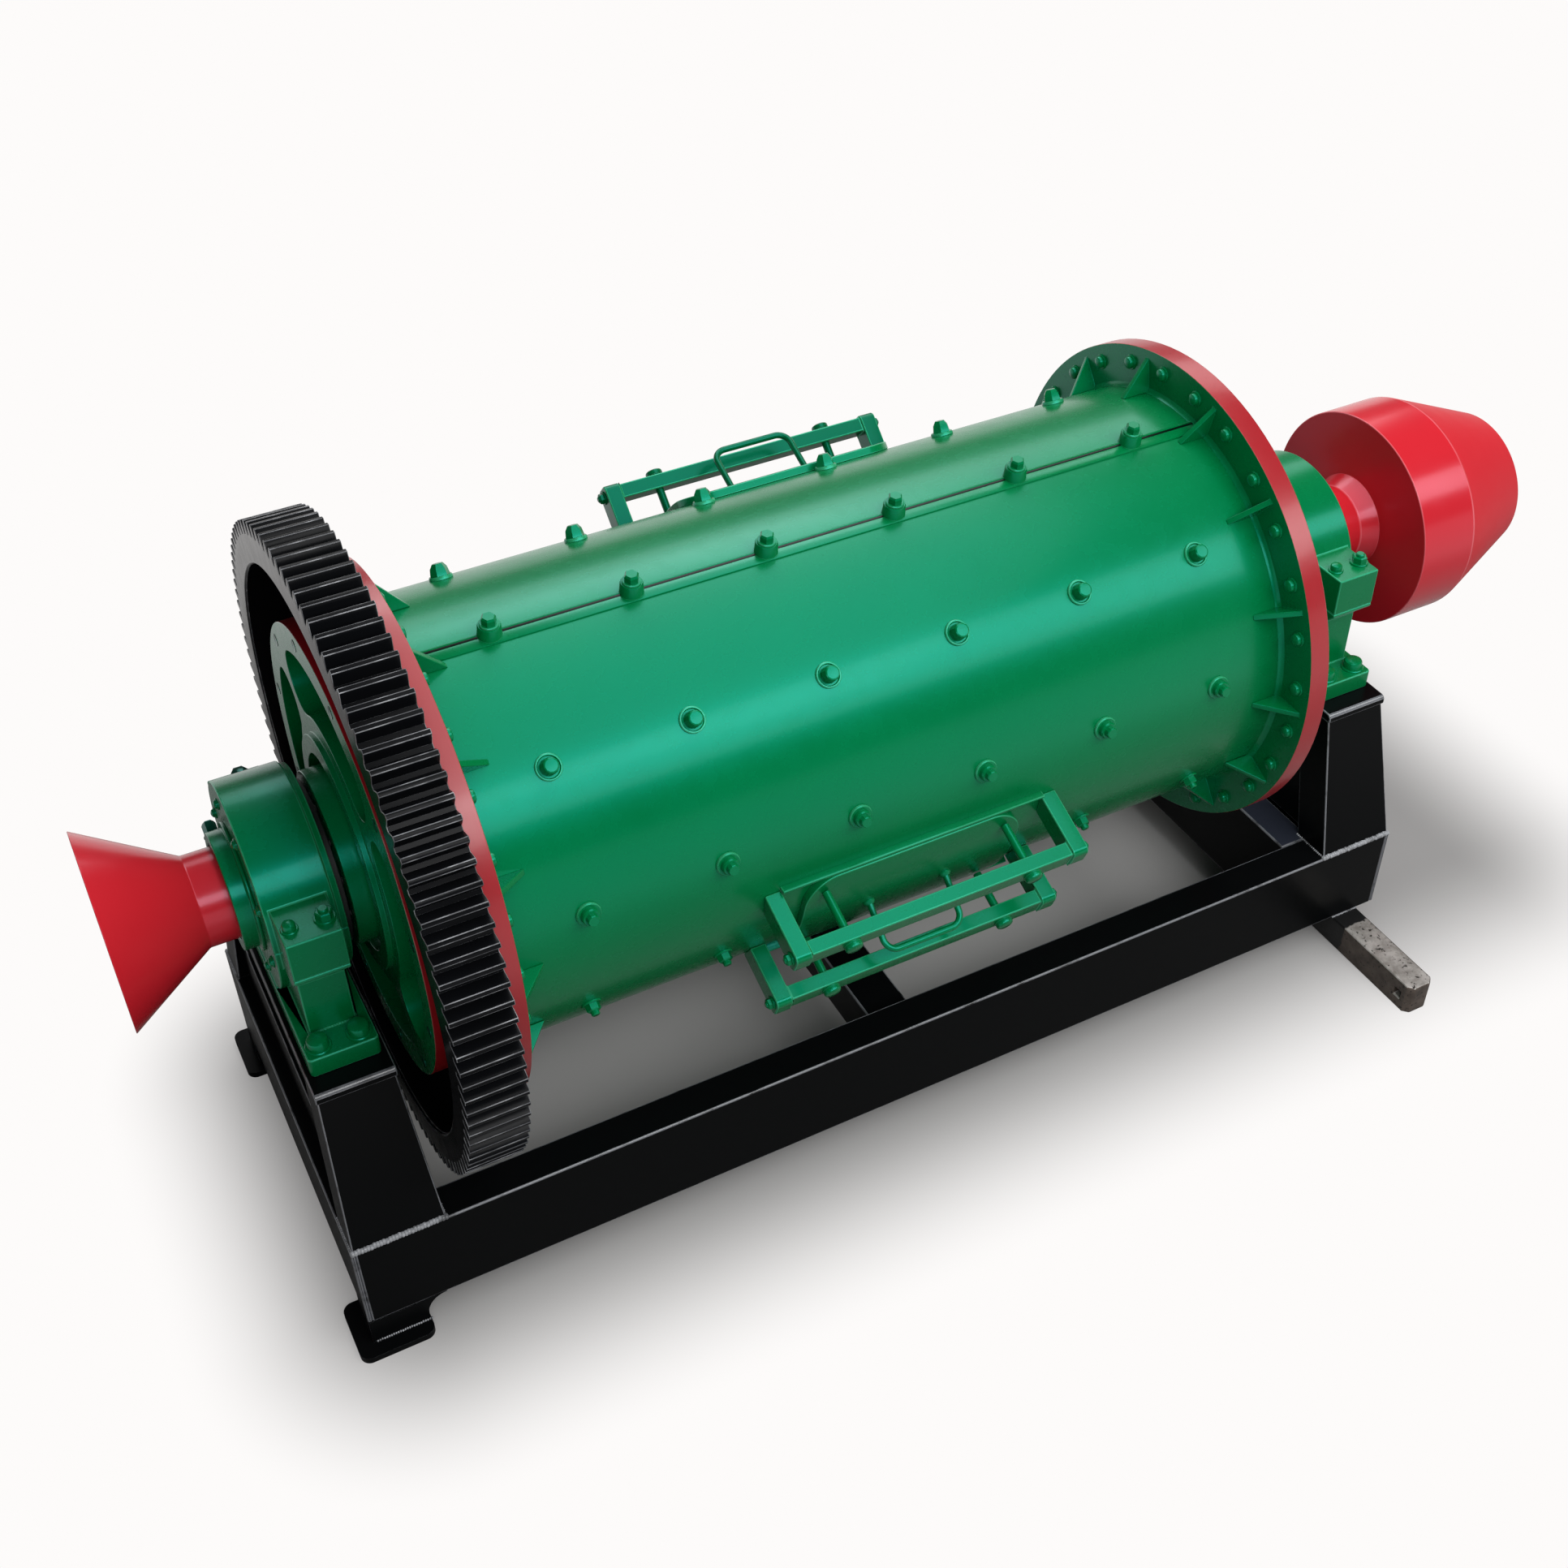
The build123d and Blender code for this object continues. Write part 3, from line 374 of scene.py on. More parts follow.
def brick(size, place, bevel, edge=0):
    """Block of a size in metres about its own middle; edge is its rounding's material."""
    shape = bmesh.new()
    bmesh.ops.create_cube(shape, size=1.0)
    bmesh.ops.scale(shape, vec=size, verts=shape.verts)
    rounding = bmesh.ops.bevel(
        shape, geom=shape.edges[:], offset=bevel, offset_type="OFFSET", segments=2,
        profile=0.5, affect="EDGES", clamp_overlap=True, material=-1,
    )
    for face in rounding["faces"]:
        face.material_index = edge
    bmesh.ops.transform(shape, matrix=place, verts=shape.verts)
    shade(shape)
    return shape


def bead(start, end, radius, pitch):
    """Row of overlapping weld ripples between two points; sizes in millimetres."""
    start, end = Vector(start), Vector(end)
    line = end - start
    count = max(2, round(line.length / (pitch * MM)))
    turn = line.to_track_quat("X", "Z").to_matrix().to_4x4()
    unit = bmesh.new()
    bmesh.ops.create_icosphere(unit, subdivisions=2, radius=radius * MM)
    shade(unit)
    places = []
    for k in range(count + 1):
        sway = 0.16 * math.sin(k * 2.4) + 0.1 * math.sin(k * 5.3)
        ripple = Matrix.Diagonal((0.8, 1 + sway, 1 - sway, 1))
        places.append(Matrix.Translation(start + line * (k / count)) @ turn @ ripple)
    return repeated(unit, places)


def settle(shape, name, materials, body, nodes=()):
    """Make an object of a shape and tell the frame what it rides on and stands for."""
    mesh = bpy.data.meshes.new(name)
    shape.to_mesh(mesh)
    shape.free()
    for material in materials:
        mesh.materials.append(material)
    piece = bpy.data.objects.new(name, mesh)
    bpy.context.scene.collection.objects.link(piece)
    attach(piece, body)
    if nodes:
        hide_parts(*nodes)
    return piece


def drum_piece(shape, name, materials):
    """Piece that turns with the drum, in the materials given."""
    return settle(shape, name, materials, "drum")


def frame_piece(shape, name, materials):
    """Piece that stands still with the frame."""
    return settle(shape, name, materials, "frame")


def node_copy(node, whole=True):
    """Merged copy of a node's loose triangles; whole joins those of a flat region."""
    shape = bmesh.new()
    shape.from_mesh(frame["nodes"][node].data)
    bmesh.ops.remove_doubles(shape, verts=shape.verts, dist=0.02 * MM)
    if whole:
        bmesh.ops.dissolve_limit(
            shape, angle_limit=math.radians(0.6), use_dissolve_boundaries=False,
            verts=shape.verts, edges=shape.edges, delimit={"NORMAL"},
        )
    return shape


def finish(
        node, shape, materials, bevel, edge=-1, choose=None, skip=None, segments=2, clamp=True,
        sharp=SHARP, hollow=1.0):
    """Stand a shape in for a node, its sharp edges rounded.

    edge is the rounding's material and hollow the share of it that inner corners get.
    """
    weight = shape.edges.layers.float.new("bevel_weight_edge")
    for line in shape.edges:
        if line.calc_face_angle(0.0) > sharp:
            kept = bool(skip and skip(line))
            line[weight] = 0.0 if kept else 1.0 if line.is_convex else hollow
            line.smooth = not kept
    for face in shape.faces:
        face.smooth = True
        face.material_index = choose(face) if choose else 0
    body = frame["nodes"][node]["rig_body"]
    piece = settle(shape, node + "_finish", materials, body, [node])
    rounding = piece.modifiers.new("Rounded edges", "BEVEL")
    rounding.limit_method = "WEIGHT"
    rounding.width = bevel
    rounding.segments = segments
    rounding.use_clamp_overlap = clamp
    rounding.material = edge
    even = piece.modifiers.new("Even shading", "WEIGHTED_NORMAL")
    even.keep_sharp = True
    return piece


def dress(node, *args, whole=True, **options):
    """Finish a copy of a node's own shape."""
    return finish(node, node_copy(node, whole), *args, **options)


def turn(node, materials, bevel, **options):
    """Finish a node as a ring turned on a fine lathe."""
    shape = lathe(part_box(node)[0].x, TURNED[node])
    return finish(node, shape, materials, bevel, sharp=SHARP / 2, **options)


def drum_radius(point):
    return math.hypot(point.y, point.z - AXIS)


# Materials
def gloss_enamel(
        name, main, thick, sheen=(1, 1, 1), level=0.5, gloss=0.3, coat=0.0, peel=0.05):
    """Sprayed alkyd enamel on steel.

    A wet gloss with faint orange peel, and slow drifts of tone where the coat is thicker.
    The sheen tints the broad reflection, and the coat adds a clear one over it.
    """
    material, tree, shader = start_material(name)
    place = object_place(tree)
    drift = noise(tree, place, 260, 3.0)
    smear = noise(tree, place, 40, 4.0)
    grain = noise(tree, place, 5, 2.0)
    normal = relief(tree, grain, peel, 1.0)
    feed(tree, shader, {
        "Base Color": blend(tree, drift, colour(main), colour(thick)),
        "Roughness": ramp(tree, smear, (0.0, 1.0), (gloss - 0.05, gloss + 0.05)),
        "Normal": normal, "Coat Normal": normal,
        "Specular IOR Level": level, "Specular Tint": colour(sheen),
        "Coat Weight": coat, "Coat Roughness": 0.12,
    })
    return material


def rubbed_and_highlight_edge(name, paint, metal, share, level=0.5, gloss=0.28):
    """Enamel rubbed thin along an edge: a lighter line, broken where the paint is whole; on the frame the
    line is also a painted highlight.
    """
    material, tree, shader = start_material(name)
    patch = noise(tree, object_place(tree), 45, 4.0)
    shift = share * 0.35
    worn = ramp(tree, patch, (0.6 - shift, 0.8 - shift))
    feed(tree, shader, {
        "Base Color": blend(tree, worn, colour(paint), colour(metal)),
        "Roughness": gloss, "Specular IOR Level": level,
    })
    return material


def cast_iron(name, main, dark):
    """Sand-cast iron: dull, granular and blotched."""
    material, tree, shader = start_material(name)
    place = object_place(tree)
    blotch = noise(tree, place, 60, 6.0)
    grain = noise(tree, place, 3, 3.0)
    feed(tree, shader, {
        "Base Color": blend(tree, blotch, colour(main), colour(dark)),
        "Normal": relief(tree, grain, 0.25, 1.5), "Roughness": 0.55,
    })
    return material


def bare_bar(name, main, dark, pits, overspray, start, metallic):
    """Weathered hot-rolled bar: blotched and pitted, with black overspray near the frame.

    The overspray ends at a ragged line, start metres from the mill's middle.
    """
    material, tree, shader = start_material(name)
    place = object_place(tree)
    blotch = noise(tree, place, 38, 8.0, Roughness=0.62)
    tone = blend(tree, ramp(tree, blotch, (0.36, 0.64)), colour(main), colour(dark))
    speck = noise(tree, place, 9, 4.0)
    rusted = blend(tree, ramp(tree, speck, (0.6, 0.68)), tone, colour(pits))
    along = add_node(tree, "ShaderNodeSeparateXYZ", {"Vector": place}).outputs["Y"]
    ragged = maths(tree, "MULTIPLY_ADD", blotch, 0.03, maths(tree, "ABSOLUTE", along))
    bare = ramp(tree, ragged, (start, start + 4 * MM))
    feed(tree, shader, {
        "Base Color": blend(tree, bare, colour(overspray), rusted),
        "Metallic": maths(tree, "MULTIPLY", bare, metallic),
        "Normal": relief(tree, speck, 0.35, 1.2), "Roughness": 0.45,
    })
    return material


def tint(label, description, code):
    """Colour property from an sRGB hex value."""
    return bpy.props.FloatVectorProperty(
        name=label, description=description, subtype="COLOR", size=3, min=0, max=1, default=linear(code))


class MillColours(bpy.types.PropertyGroup):
    """Paint and metal colours of the mill."""
    green: tint("Drum green", "Enamel of the drum and the bearings", "00723B")
    green_shade: tint("Drum green, thick coat", "Deeper tone where the green coat is thick", "006834")
    # Lighter green on edges, lips and fillets: partly paint worn thin, partly a painted highlight
    green_edge_highlight: tint("Drum green, edge highlight", "Lighter tone on edges: thin paint and painted highlight", "3FA779")
    red: tint("Red", "Enamel of the trumpet and the feeder", "CC2530")
    red_shade: tint("Red, thick coat", "Deeper tone where the red coat is thick", "C21F29")
    black: tint("Frame black", "Enamel of the frame and the gear", "08090A")
    # Lighter grey on the frame's rounded edges: rubbed paint and a painted highlight
    black_edge_highlight: tint("Frame black, edge highlight", "Lighter tone on edges: rubbed paint and painted highlight", "6C6E73")
    steel: tint("Rubbed steel", "Metal that shows where paint is rubbed through", "9A9CA0")


class MillSizes(bpy.types.PropertyGroup):
    """Roundings and fastener sizes of the mill."""
    rail_edge: bpy.props.FloatProperty(
        name="Rail edge", description="Rounding of the rolled rails and beams",
        unit="LENGTH", default=4.0 * MM)
    plate_edge: bpy.props.FloatProperty(
        name="Plate edge", description="Rounding of painted plate edges",
        unit="LENGTH", default=3.0 * MM)
    casting_edge: bpy.props.FloatProperty(
        name="Casting edge", description="Rounding of cast housing edges",
        unit="LENGTH", default=3.0 * MM)
    tooth_edge: bpy.props.FloatProperty(
        name="Tooth edge", description="Rounding of the gear's tooth edges",
        unit="LENGTH", default=1.2 * MM)
    liner_pitch: bpy.props.FloatProperty(
        name="Liner bolt pitch", description="Spacing of liner bolts along the shell",
        unit="LENGTH", default=286.0 * MM)
    flange_circle: bpy.props.FloatProperty(
        name="Flange bolt circle", description="Radius of the flange bolts",
        unit="LENGTH", default=520.0 * MM)
    front_lug: bpy.props.FloatProperty(
        name="Front lug", description="Height of a cap's front lug over the split line",
        unit="LENGTH", default=90.0 * MM)
    rear_lug: bpy.props.FloatProperty(
        name="Rear lug", description="Height of a cap's rear lug over the split line",
        unit="LENGTH", default=36.0 * MM)
    shoe: bpy.props.FloatProperty(
        name="Bearing shoe", description="Thickness of a bearing's shoe on its seat",
        unit="LENGTH", default=45.0 * MM)


class Palette:
    """Materials made once from the colours and shared by the pieces."""

    def __init__(self, tints):
        teal = (0.02, 1.0, 0.88)
        rose = (1.0, 0.6, 0.8)
        pink = (1.0, 0.85, 0.87)
        self.green = gloss_enamel(
            "Green alkyd enamel", tints.green, tints.green_shade, teal, 0.66, 0.27, 0.08, 0.05)
        # Lighter green on rounded edges: partly thin paint, partly a painted highlight
        self.green_edge_highlight = gloss_enamel(
            "Green enamel on an edge, thin paint and painted highlight", tints.green_edge_highlight, tints.green, teal, 0.8, 0.3, 0.1)
        # Deep green for plugs, also the painted shade of the core holes
        self.deep_green_and_hole_shade = gloss_enamel(
            "Deep green enamel on plugs and painted shade in core holes", linear("06402A"), linear("04331F"), teal, 0.6, 0.2, 0.1)
        # Deeper green on the rear manhole's fittings: painted shade, the paint being the drum's own
        self.green_rear_shade = gloss_enamel(
            "Green with painted shade on the rear manhole", linear("005C30"), linear("005029"), teal, 0.5, 0.3, 0.06)
        # Near-black strip that paints the shade in the plate joint's groove
        self.joint = gloss_enamel(
            "Near-black painted shade in the plate joint", linear("02140B"), linear("010A06"), level=0.2)
        self.red = gloss_enamel(
            "Red alkyd enamel", tints.red, tints.red_shade, rose, 0.55, 0.22, 0.08)
        self.cone = gloss_enamel(
            "Red enamel on the feeder's cone", tints.red, tints.red_shade, rose, 0.08, 0.4)
        # Lighter red on rounded edges: partly thin paint, partly a painted highlight
        self.red_edge_highlight = gloss_enamel(
            "Red enamel on an edge, thin paint and painted highlight", linear("DC6E76"), tints.red, rose, 0.6, 0.25)
        self.rim = gloss_enamel(
            "Red enamel on a rim", linear("A2141E"), linear("94101A"), pink, 0.65, 0.3, 0.2)
        self.black = gloss_enamel(
            "Black alkyd enamel", tints.black, tints.black, level=0.06, gloss=0.32, peel=0.03)
        # Rounded frame edges are lighter: rubbed paint and a painted highlight
        self.black_edge_highlight = rubbed_and_highlight_edge(
            "Black enamel on an edge, rubbed and painted highlight", tints.black, tints.black_edge_highlight, 0.9, 0.8, 0.22)
        # Bluish grey on the cross beam's upward faces: a painted sheen of the light above
        self.beam_top_sheen = gloss_enamel(
            "Bluish grey painted sheen", linear("2A2E3A"), linear("20232D"), level=0.3, gloss=0.4)
        self.gear = gloss_enamel(
            "Gear enamel", tints.black, linear("101114"), level=0.08, gloss=0.24, peel=0.02)
        self.tooth_edge = rubbed_and_highlight_edge(
            "Gear enamel thin on an edge", linear("4A4C50"), tints.steel, 0.3)
        self.iron = cast_iron("Cast liner iron", linear("5A5754"), linear("3D3A37"))
        self.seal = cast_iron("Oiled seal iron", linear("141516"), linear("0C0D0E"))
        self.weld = rubbed_and_highlight_edge("Brushed weld bead", tints.black, tints.steel, 0.85)
        paint_end = PAINT_LAP - RAIL_LOW.y
        self.bar_top = bare_bar(
            "Rubbed bar steel", linear("C4C0BB"), linear("8E8983"), linear("2E2A27"),
            tints.black, paint_end, 0.5)
        self.bar_side = bare_bar(
            "Weathered bar steel", linear("62574F"), linear("453C36"), linear("241F1B"),
            tints.black, paint_end, 0.2)


MADE = {}


def palette():
    """The materials, made at the first call."""
    if Palette not in MADE:
        MADE[Palette] = Palette(bpy.context.scene.mill_colours)
    return MADE[Palette]


# Fasteners, their radii and heights in millimetres
def hex_bolt(nut, height, washer, washer_height, stub, stub_height):
    """Hexagon nut on a washer, with the bolt's end above it."""
    top = washer_height + height
    end = top + stub_height
    rim = washer_height - 1
    disc = spun(
        [(0, 0), (washer, 0), (washer, rim), (washer - 1, washer_height), (0, washer_height)], 20)
    hexagon = spun([(nut, washer_height), (nut, top - 2), (nut - 2.5, top), (0, top)], 6)
    return stacked(disc, hexagon, spun([(stub, top), (stub, end - 2), (stub - 2, end), (0, end)], 12))


def domed_bolt(head, height, washer):
    """Round head with a rolled edge on a washer."""
    disc = spun([(0, 0), (washer, 0), (washer, 2), (washer - 1.5, 3.5), (0, 3.5)], 24)
    profile = [
        (head, 3.5), (head, height - 5), (head - 1.5, height - 2), (head - 5, height), (0, height + 1)]
    return stacked(disc, spun(profile, 24))


def plug(radius, height):
    """Tall hexagon plug with a rounded crown."""
    flange = spun([(0, 0), (radius + 3, 0), (radius + 3, 3), (radius + 1, 5), (0, 5)], 18)
    profile = [
        (radius, 4), (radius, height - 7), (radius - 3, height - 2), (radius - 8, height), (0, height)]
    return stacked(flange, spun(profile, 6))


def liner_stud():
    """Stud on a dished washer with a raised lip."""
    washer = spun([(26, 0), (26, 3), (24.5, 4.5), (22.5, 4.5), (20.5, 1.5), (0, 1.5)], 28, 23)
    return stacked(washer, spun([(17, 1), (16, 22), (14.5, 26), (12, 27.5), (0, 28)], 12))


def stepped_boss():
    """Washer, round nut and bolt end in three steps."""
    washer = spun([(25, 0), (25, 4), (23, 6.5), (0, 6.5)], 24, 23.2)
    nut = spun([(18.5, 6), (18, 15), (16, 18), (0, 18)], 20)
    return stacked(washer, nut, spun([(12, 17), (12, 28), (10.5, 30), (0, 30)], 10))


def seam_boss():
    """Round boss with a lip and a nut."""
    boss = spun([(0, 0), (25, 0), (24, 3), (22.5, 25), (21, 28), (0, 28)], 24, 24.1)
    lip = spun([(18.5, 27), (19, 31), (17.5, 33), (0, 33)], 24, 18)
    return stacked(boss, lip, spun([(15, 32), (15, 44), (12, 48), (0, 48)], 6))


def cone_boss():
    """Tall conical nut on a flared foot."""
    foot = spun([(0, 0), (24, 0), (24, 4), (22.5, 7), (0, 7)], 24, 22.8)
    return stacked(foot, spun([(20.5, 6), (17.5, 22), (11, 31), (0, 32)], 6))


# Pieces
class MILL_OT_frame_steel(bpy.types.Operator):
    """Paint the welded frame, its stands and its feet."""
    bl_idname = "mill.frame_steel"
    bl_label = "Frame and stands"

    def execute(self, context):
        sizes = context.scene.mill_sizes
        paint = palette()
        # The second coat lightens rounded edges: rubbed paint and a painted highlight
        coats = [paint.black, paint.black_edge_highlight]
        for node, slot in SLOTS.items():
            if slot != "black_enamel" or node.endswith("seal_ring"):
                continue
            # The cross beam's upward faces take a bluish grey painted sheen
            if node == "feed_cross_beam":
                dress(
                    node, [*coats, paint.beam_top_sheen], sizes.rail_edge, edge=1, segments=3, choose=self.upper)
            elif node.endswith(("rail", "beam", "foot")):
                dress(node, coats, sizes.rail_edge, edge=1, segments=3)
            elif node.endswith("seat_plate"):
                dress(node, coats, sizes.plate_edge, edge=1, choose=self.rounds)
            else:
                dress(node, coats, sizes.plate_edge, edge=1)
        return {"FINISHED"}

    def upper(self, face):
        """Third coat, a bluish grey painted sheen, on faces that look up."""
        return 2 if face.normal.z > UPWARD else 0

    def rounds(self, face):
        """Second coat, the lighter edge black, on the rounded front and rear edges of a seat: wear and a
        painted highlight.
        """
        return int(abs(face.normal.y) > 0.25 and face.normal.z > 0.25)


class MILL_OT_frame_welds(bpy.types.Operator):
    """Lay the weld beads of the posts, the feet and the skid."""
    bl_idname = "mill.frame_welds"
    bl_label = "Frame welds"

    def execute(self, context):
        paint = palette()
        for end in ("discharge", "feed"):
            for side in ("front", "rear"):
                self.post(f"{end}_{side}_post", paint)
        for side, y in (("front", RAIL_LOW.y), ("rear", -RAIL_LOW.y)):
            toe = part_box(side + "_foot")[0].z + FOOT_PLATE
            rows = [
                bead((RAIL_LOW.x, y, toe), (RAIL_LOW.x + FOOT_WELD, y, toe), *TOE_BEAD),
                bead((SKID_LOW.x, y, RAIL_LOW.z), (SKID_HIGH.x, y, RAIL_LOW.z), *TOE_BEAD),
            ]
            frame_piece(stacked(*rows), side + "_rail_welds", [paint.weld])
        return {"FINISHED"}

    def post(self, node, paint):
        low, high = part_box(node)
        outer = low.y if low.y < 0 else high.y
        inner = outer - math.copysign(POST_DEPTH, outer)
        rows = [
            bead((low.x, outer, low.z), (high.x, outer, low.z), *FRONT_BEAD),
            bead((low.x, outer, low.z), (low.x, inner, low.z), *SIDE_BEAD),
            bead((high.x, outer, low.z), (high.x, inner, low.z), *SIDE_BEAD),
        ]
        frame_piece(stacked(*rows), node + "_weld", [paint.weld])


class MILL_OT_skid(bpy.types.Operator):
    """Leave the skid bar bare, rubbed bright on top and painted near the frame."""
    bl_idname = "mill.skid"
    bl_label = "Skid bar"

    def execute(self, context):
        paint = palette()
        dress(
            "feed_skid", [paint.bar_side, paint.bar_top], 5.0 * MM, segments=3,
            choose=lambda face: int(face.normal.z > UPWARD))
        return {"FINISHED"}


class MILL_OT_bearings(bpy.types.Operator):
    """Paint the split bearings, seal them and bolt their lugs, shoes and end covers."""
    bl_idname = "mill.bearings"
    bl_label = "Bearings"

    def execute(self, context):
        sizes = context.scene.mill_sizes
        paint = palette()
        coats = [paint.green, paint.green_edge_highlight]
        for end, inward in (("discharge", 1), ("feed", -1)):
            for node in ("bearing_base", "bearing_cap"):
                # The castings' rounded edges take the lighter green, partly a painted highlight
                dress(f"{end}_{node}", coats, sizes.casting_edge, edge=1, clamp=False)
            turn(end + "_end_cover", [paint.green], 2.5 * MM)
            turn(end + "_seal_ring", [paint.seal], 1.5 * MM)
            self.bolt(end, inward, sizes, paint)
            self.seal_bolts(end, inward, paint)
        return {"FINISHED"}

    def bolt(self, end, inward, sizes, paint):
        seat_low, seat_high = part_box(end + "_seat_plate")
        middle = (seat_low.x + seat_high.x) / 2
        shoe_top = seat_high.z + sizes.shoe
        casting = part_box(end + "_bearing_base")[1].y
        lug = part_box(end + "_bearing_cap")[1].y - LUG_INSET * MM
        front = AXIS + sizes.front_lug
        toes = [
            upright(middle + along * TOE_BOLTS * MM, side * (casting - TOE_INSET * MM), shoe_top)
            for along in (-1, 1) for side in (-1, 1)]
        bolts = stacked(
            repeated(domed_bolt(13, 17, 17), [upright(middle - LUG_BOLTS * MM, -lug, front)]),
            repeated(hex_bolt(17, 15, 21, 4, 10, 6), [upright(middle + LUG_BOLTS * MM, -lug, front)]),
            repeated(domed_bolt(21, 22, 26), toes))
        frame_piece(bolts, end + "_bearing_bolts", [paint.green])
        along, angle, radius = HOUSING_PLUG
        small = [around(middle + inward * along * MM, angle, radius * MM)]
        if end == "discharge":
            along, angle, radius = COVER_PLUG
            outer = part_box(end + "_end_cover")[0].x
            small.append(around(outer + along * MM, angle, radius * MM))
        plugs = stacked(
            repeated(plug(20, 36), [upright(middle + LUG_PLUG * MM, lug, AXIS + sizes.rear_lug)]),
            repeated(plug(14, 34), small))
        frame_piece(plugs, end + "_bearing_plugs", [paint.deep_green_and_hole_shade])
        face = middle - inward * HOUSING_FACE * MM
        heads = bolt_circle(face, HOUSING_BOLTS, 22, HOUSING_CIRCLE * MM, -inward)
        frame_piece(repeated(domed_bolt(9, 9, 12), heads), end + "_housing_bolts", [paint.green])
        start, stop = middle - FILLET_REACH * MM, middle + FILLET_REACH * MM
        fillets = []
        for side in (-1, 1):
            y = side * (casting - FILLET_INSET * MM)
            fillets.append(bead((start, y, shoe_top), (stop, y, shoe_top), *TOE_BEAD))
        # The shoe fillets are lighter green, a painted highlight along the weld
        frame_piece(stacked(*fillets), end + "_shoe_fillets", [paint.green_edge_highlight])

    def seal_bolts(self, end, inward, paint):
        low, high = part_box(end + "_seal_ring")
        face = high.x if inward > 0 else low.x
        places = bolt_circle(face, SEAL_BOLTS, 8, SEAL_CIRCLE * MM, inward)
        unit = spun([(9, 0), (9, 4), (7.5, 5), (0, 5)], 6)
        frame_piece(repeated(unit, places), end + "_seal_bolts", [paint.seal])


class MILL_OT_shell(bpy.types.Operator):
    """Paint the shell and its flanges, with red rims, and weld the shell's plate joint, its groove a
    near-black strip of painted shade.
    """
    bl_idname = "mill.shell"
    bl_label = "Shell and flanges"

    def execute(self, context):
        paint = palette()
        self.tube(paint)
        for node in ("discharge_flange", "feed_flange"):
            dress(
                node, [paint.green, paint.rim], 1.6 * MM, choose=on_rim, skip=on_joint, clamp=False)
        self.seam(paint)
        self.flange_welds(paint)
        liner = frame["nodes"]["shell_liner"].data
        liner.materials.clear()
        liner.materials.append(paint.iron)
        return {"FINISHED"}

    def tube(self, paint):
        """Shell whose round faces are shaded as a true cylinder up to the manholes' edges."""
        shape = node_copy("shell")
        shade(shape)
        piece = settle(shape, "shell_finish", [paint.green], "drum", ["shell"])
        mesh = piece.data
        normals = [Vector()] * len(mesh.loops)
        for face in mesh.polygons:
            for index in face.loop_indices:
                point = mesh.vertices[mesh.loops[index].vertex_index].co
                outward = Vector((0, point.y, point.z - AXIS)).normalized()
                if abs(face.normal.x) < 0.1 and face.normal.dot(outward) > 0.9:
                    normals[index] = outward
        mesh.normals_split_custom_set(normals)

    def seam(self, paint):
        length = SHELL_HIGH.x - SHELL_LOW.x
        for name, (width, height, across, bevel) in SEAM_STRIPS.items():
            place = around(SHELL_MIDDLE, SEAM_ROW, SHELL_RADIUS, across * MM)
            strip = brick((length, width * MM, height * MM), place, bevel * MM)
            # The joint strip takes the near-black painted shade of the groove
            drum_piece(strip, name, [paint.joint if name.endswith("joint") else paint.green])

    def flange_welds(self, paint):
        """Fillet welds where the shell meets its flanges."""
        rings = []
        for start, hand in ((SHELL_LOW.x, 1), (SHELL_HIGH.x, -1)):
            profile = [(hand * x, SHELL_RADIUS / MM + rise) for x, rise in FILLET]
            ring = lathe(start, profile)
            shade(ring)
            rings.append(ring)
        drum_piece(stacked(*rings), "flange_welds", [paint.green])


def beyond(radius, item):
    """Whether a face or an edge lies wholly past a radius from the mill's axis."""
    return all(drum_radius(v.co) > radius for v in item.verts)


def on_rim(face):
    """Second material where a face lies on the outer rim of a flange."""
    return int(beyond(FLANGE_RADIUS - RIM_DEPTH, face))


def on_joint(edge):
    """Whether an edge lies between a flange and its head, where the rims meet flush."""
    joints = (SHELL_LOW.x - FLANGE_PLATE, SHELL_HIGH.x + FLANGE_PLATE)
    flat = any(all(abs(v.co.x - x) < 0.1 * MM for v in edge.verts) for x in joints)
    return flat and beyond(FLANGE_RADIUS - RIM_DEPTH, edge)


class MILL_OT_liner_bolts(bpy.types.Operator):
    """Fasten the liner through the shell with rows of studs and bosses."""
    bl_idname = "mill.liner_bolts"
    bl_label = "Liner bolts"

    def execute(self, context):
        pitch = context.scene.mill_sizes.liner_pitch
        paint = palette()
        half = (LINER_STATIONS - 1) / 2
        stations = [SHELL_MIDDLE + (k - half) * pitch for k in range(LINER_STATIONS)]
        rows = [SEAM_ROW + k * FULL_TURN / LINER_ROWS for k in range(LINER_ROWS)]
        units = {"seam_bosses": seam_boss, "liner_studs": liner_stud, "stepped_bosses": stepped_boss,
                 "cone_bosses": cone_boss, "liner_nuts": lambda: hex_bolt(15, 14, 21, 4, 9, 9)}
        kinds = ["seam_bosses", "liner_studs", "stepped_bosses", *["liner_nuts"] * 6, "cone_bosses"]
        for name, unit in units.items():
            places = []
            for row, kind in zip(rows, kinds):
                if kind == name:
                    free = [x for x in stations if not under_hatch(x, row)]
                    places += [around(x, row, SHELL_RADIUS) for x in free]
            # The lips of washers and bosses take the lighter green as a painted highlight
            drum_piece(repeated(unit(), places), name, [paint.green, paint.green_edge_highlight])
        return {"FINISHED"}


def under_hatch(x, angle):
    """Whether a manhole or its clamps cover this place on the shell."""
    for side, (hatch, _) in HATCHES.items():
        low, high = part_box(side + "_manhole_cover")
        swing = (angle - hatch + FULL_TURN / 2) % FULL_TURN - FULL_TURN / 2
        reach = (high.x - low.x) / 2 + HATCH_REACH
        if abs(swing) < HATCH_SWING and abs(x - (low.x + high.x) / 2) < reach:
            return True
    return False


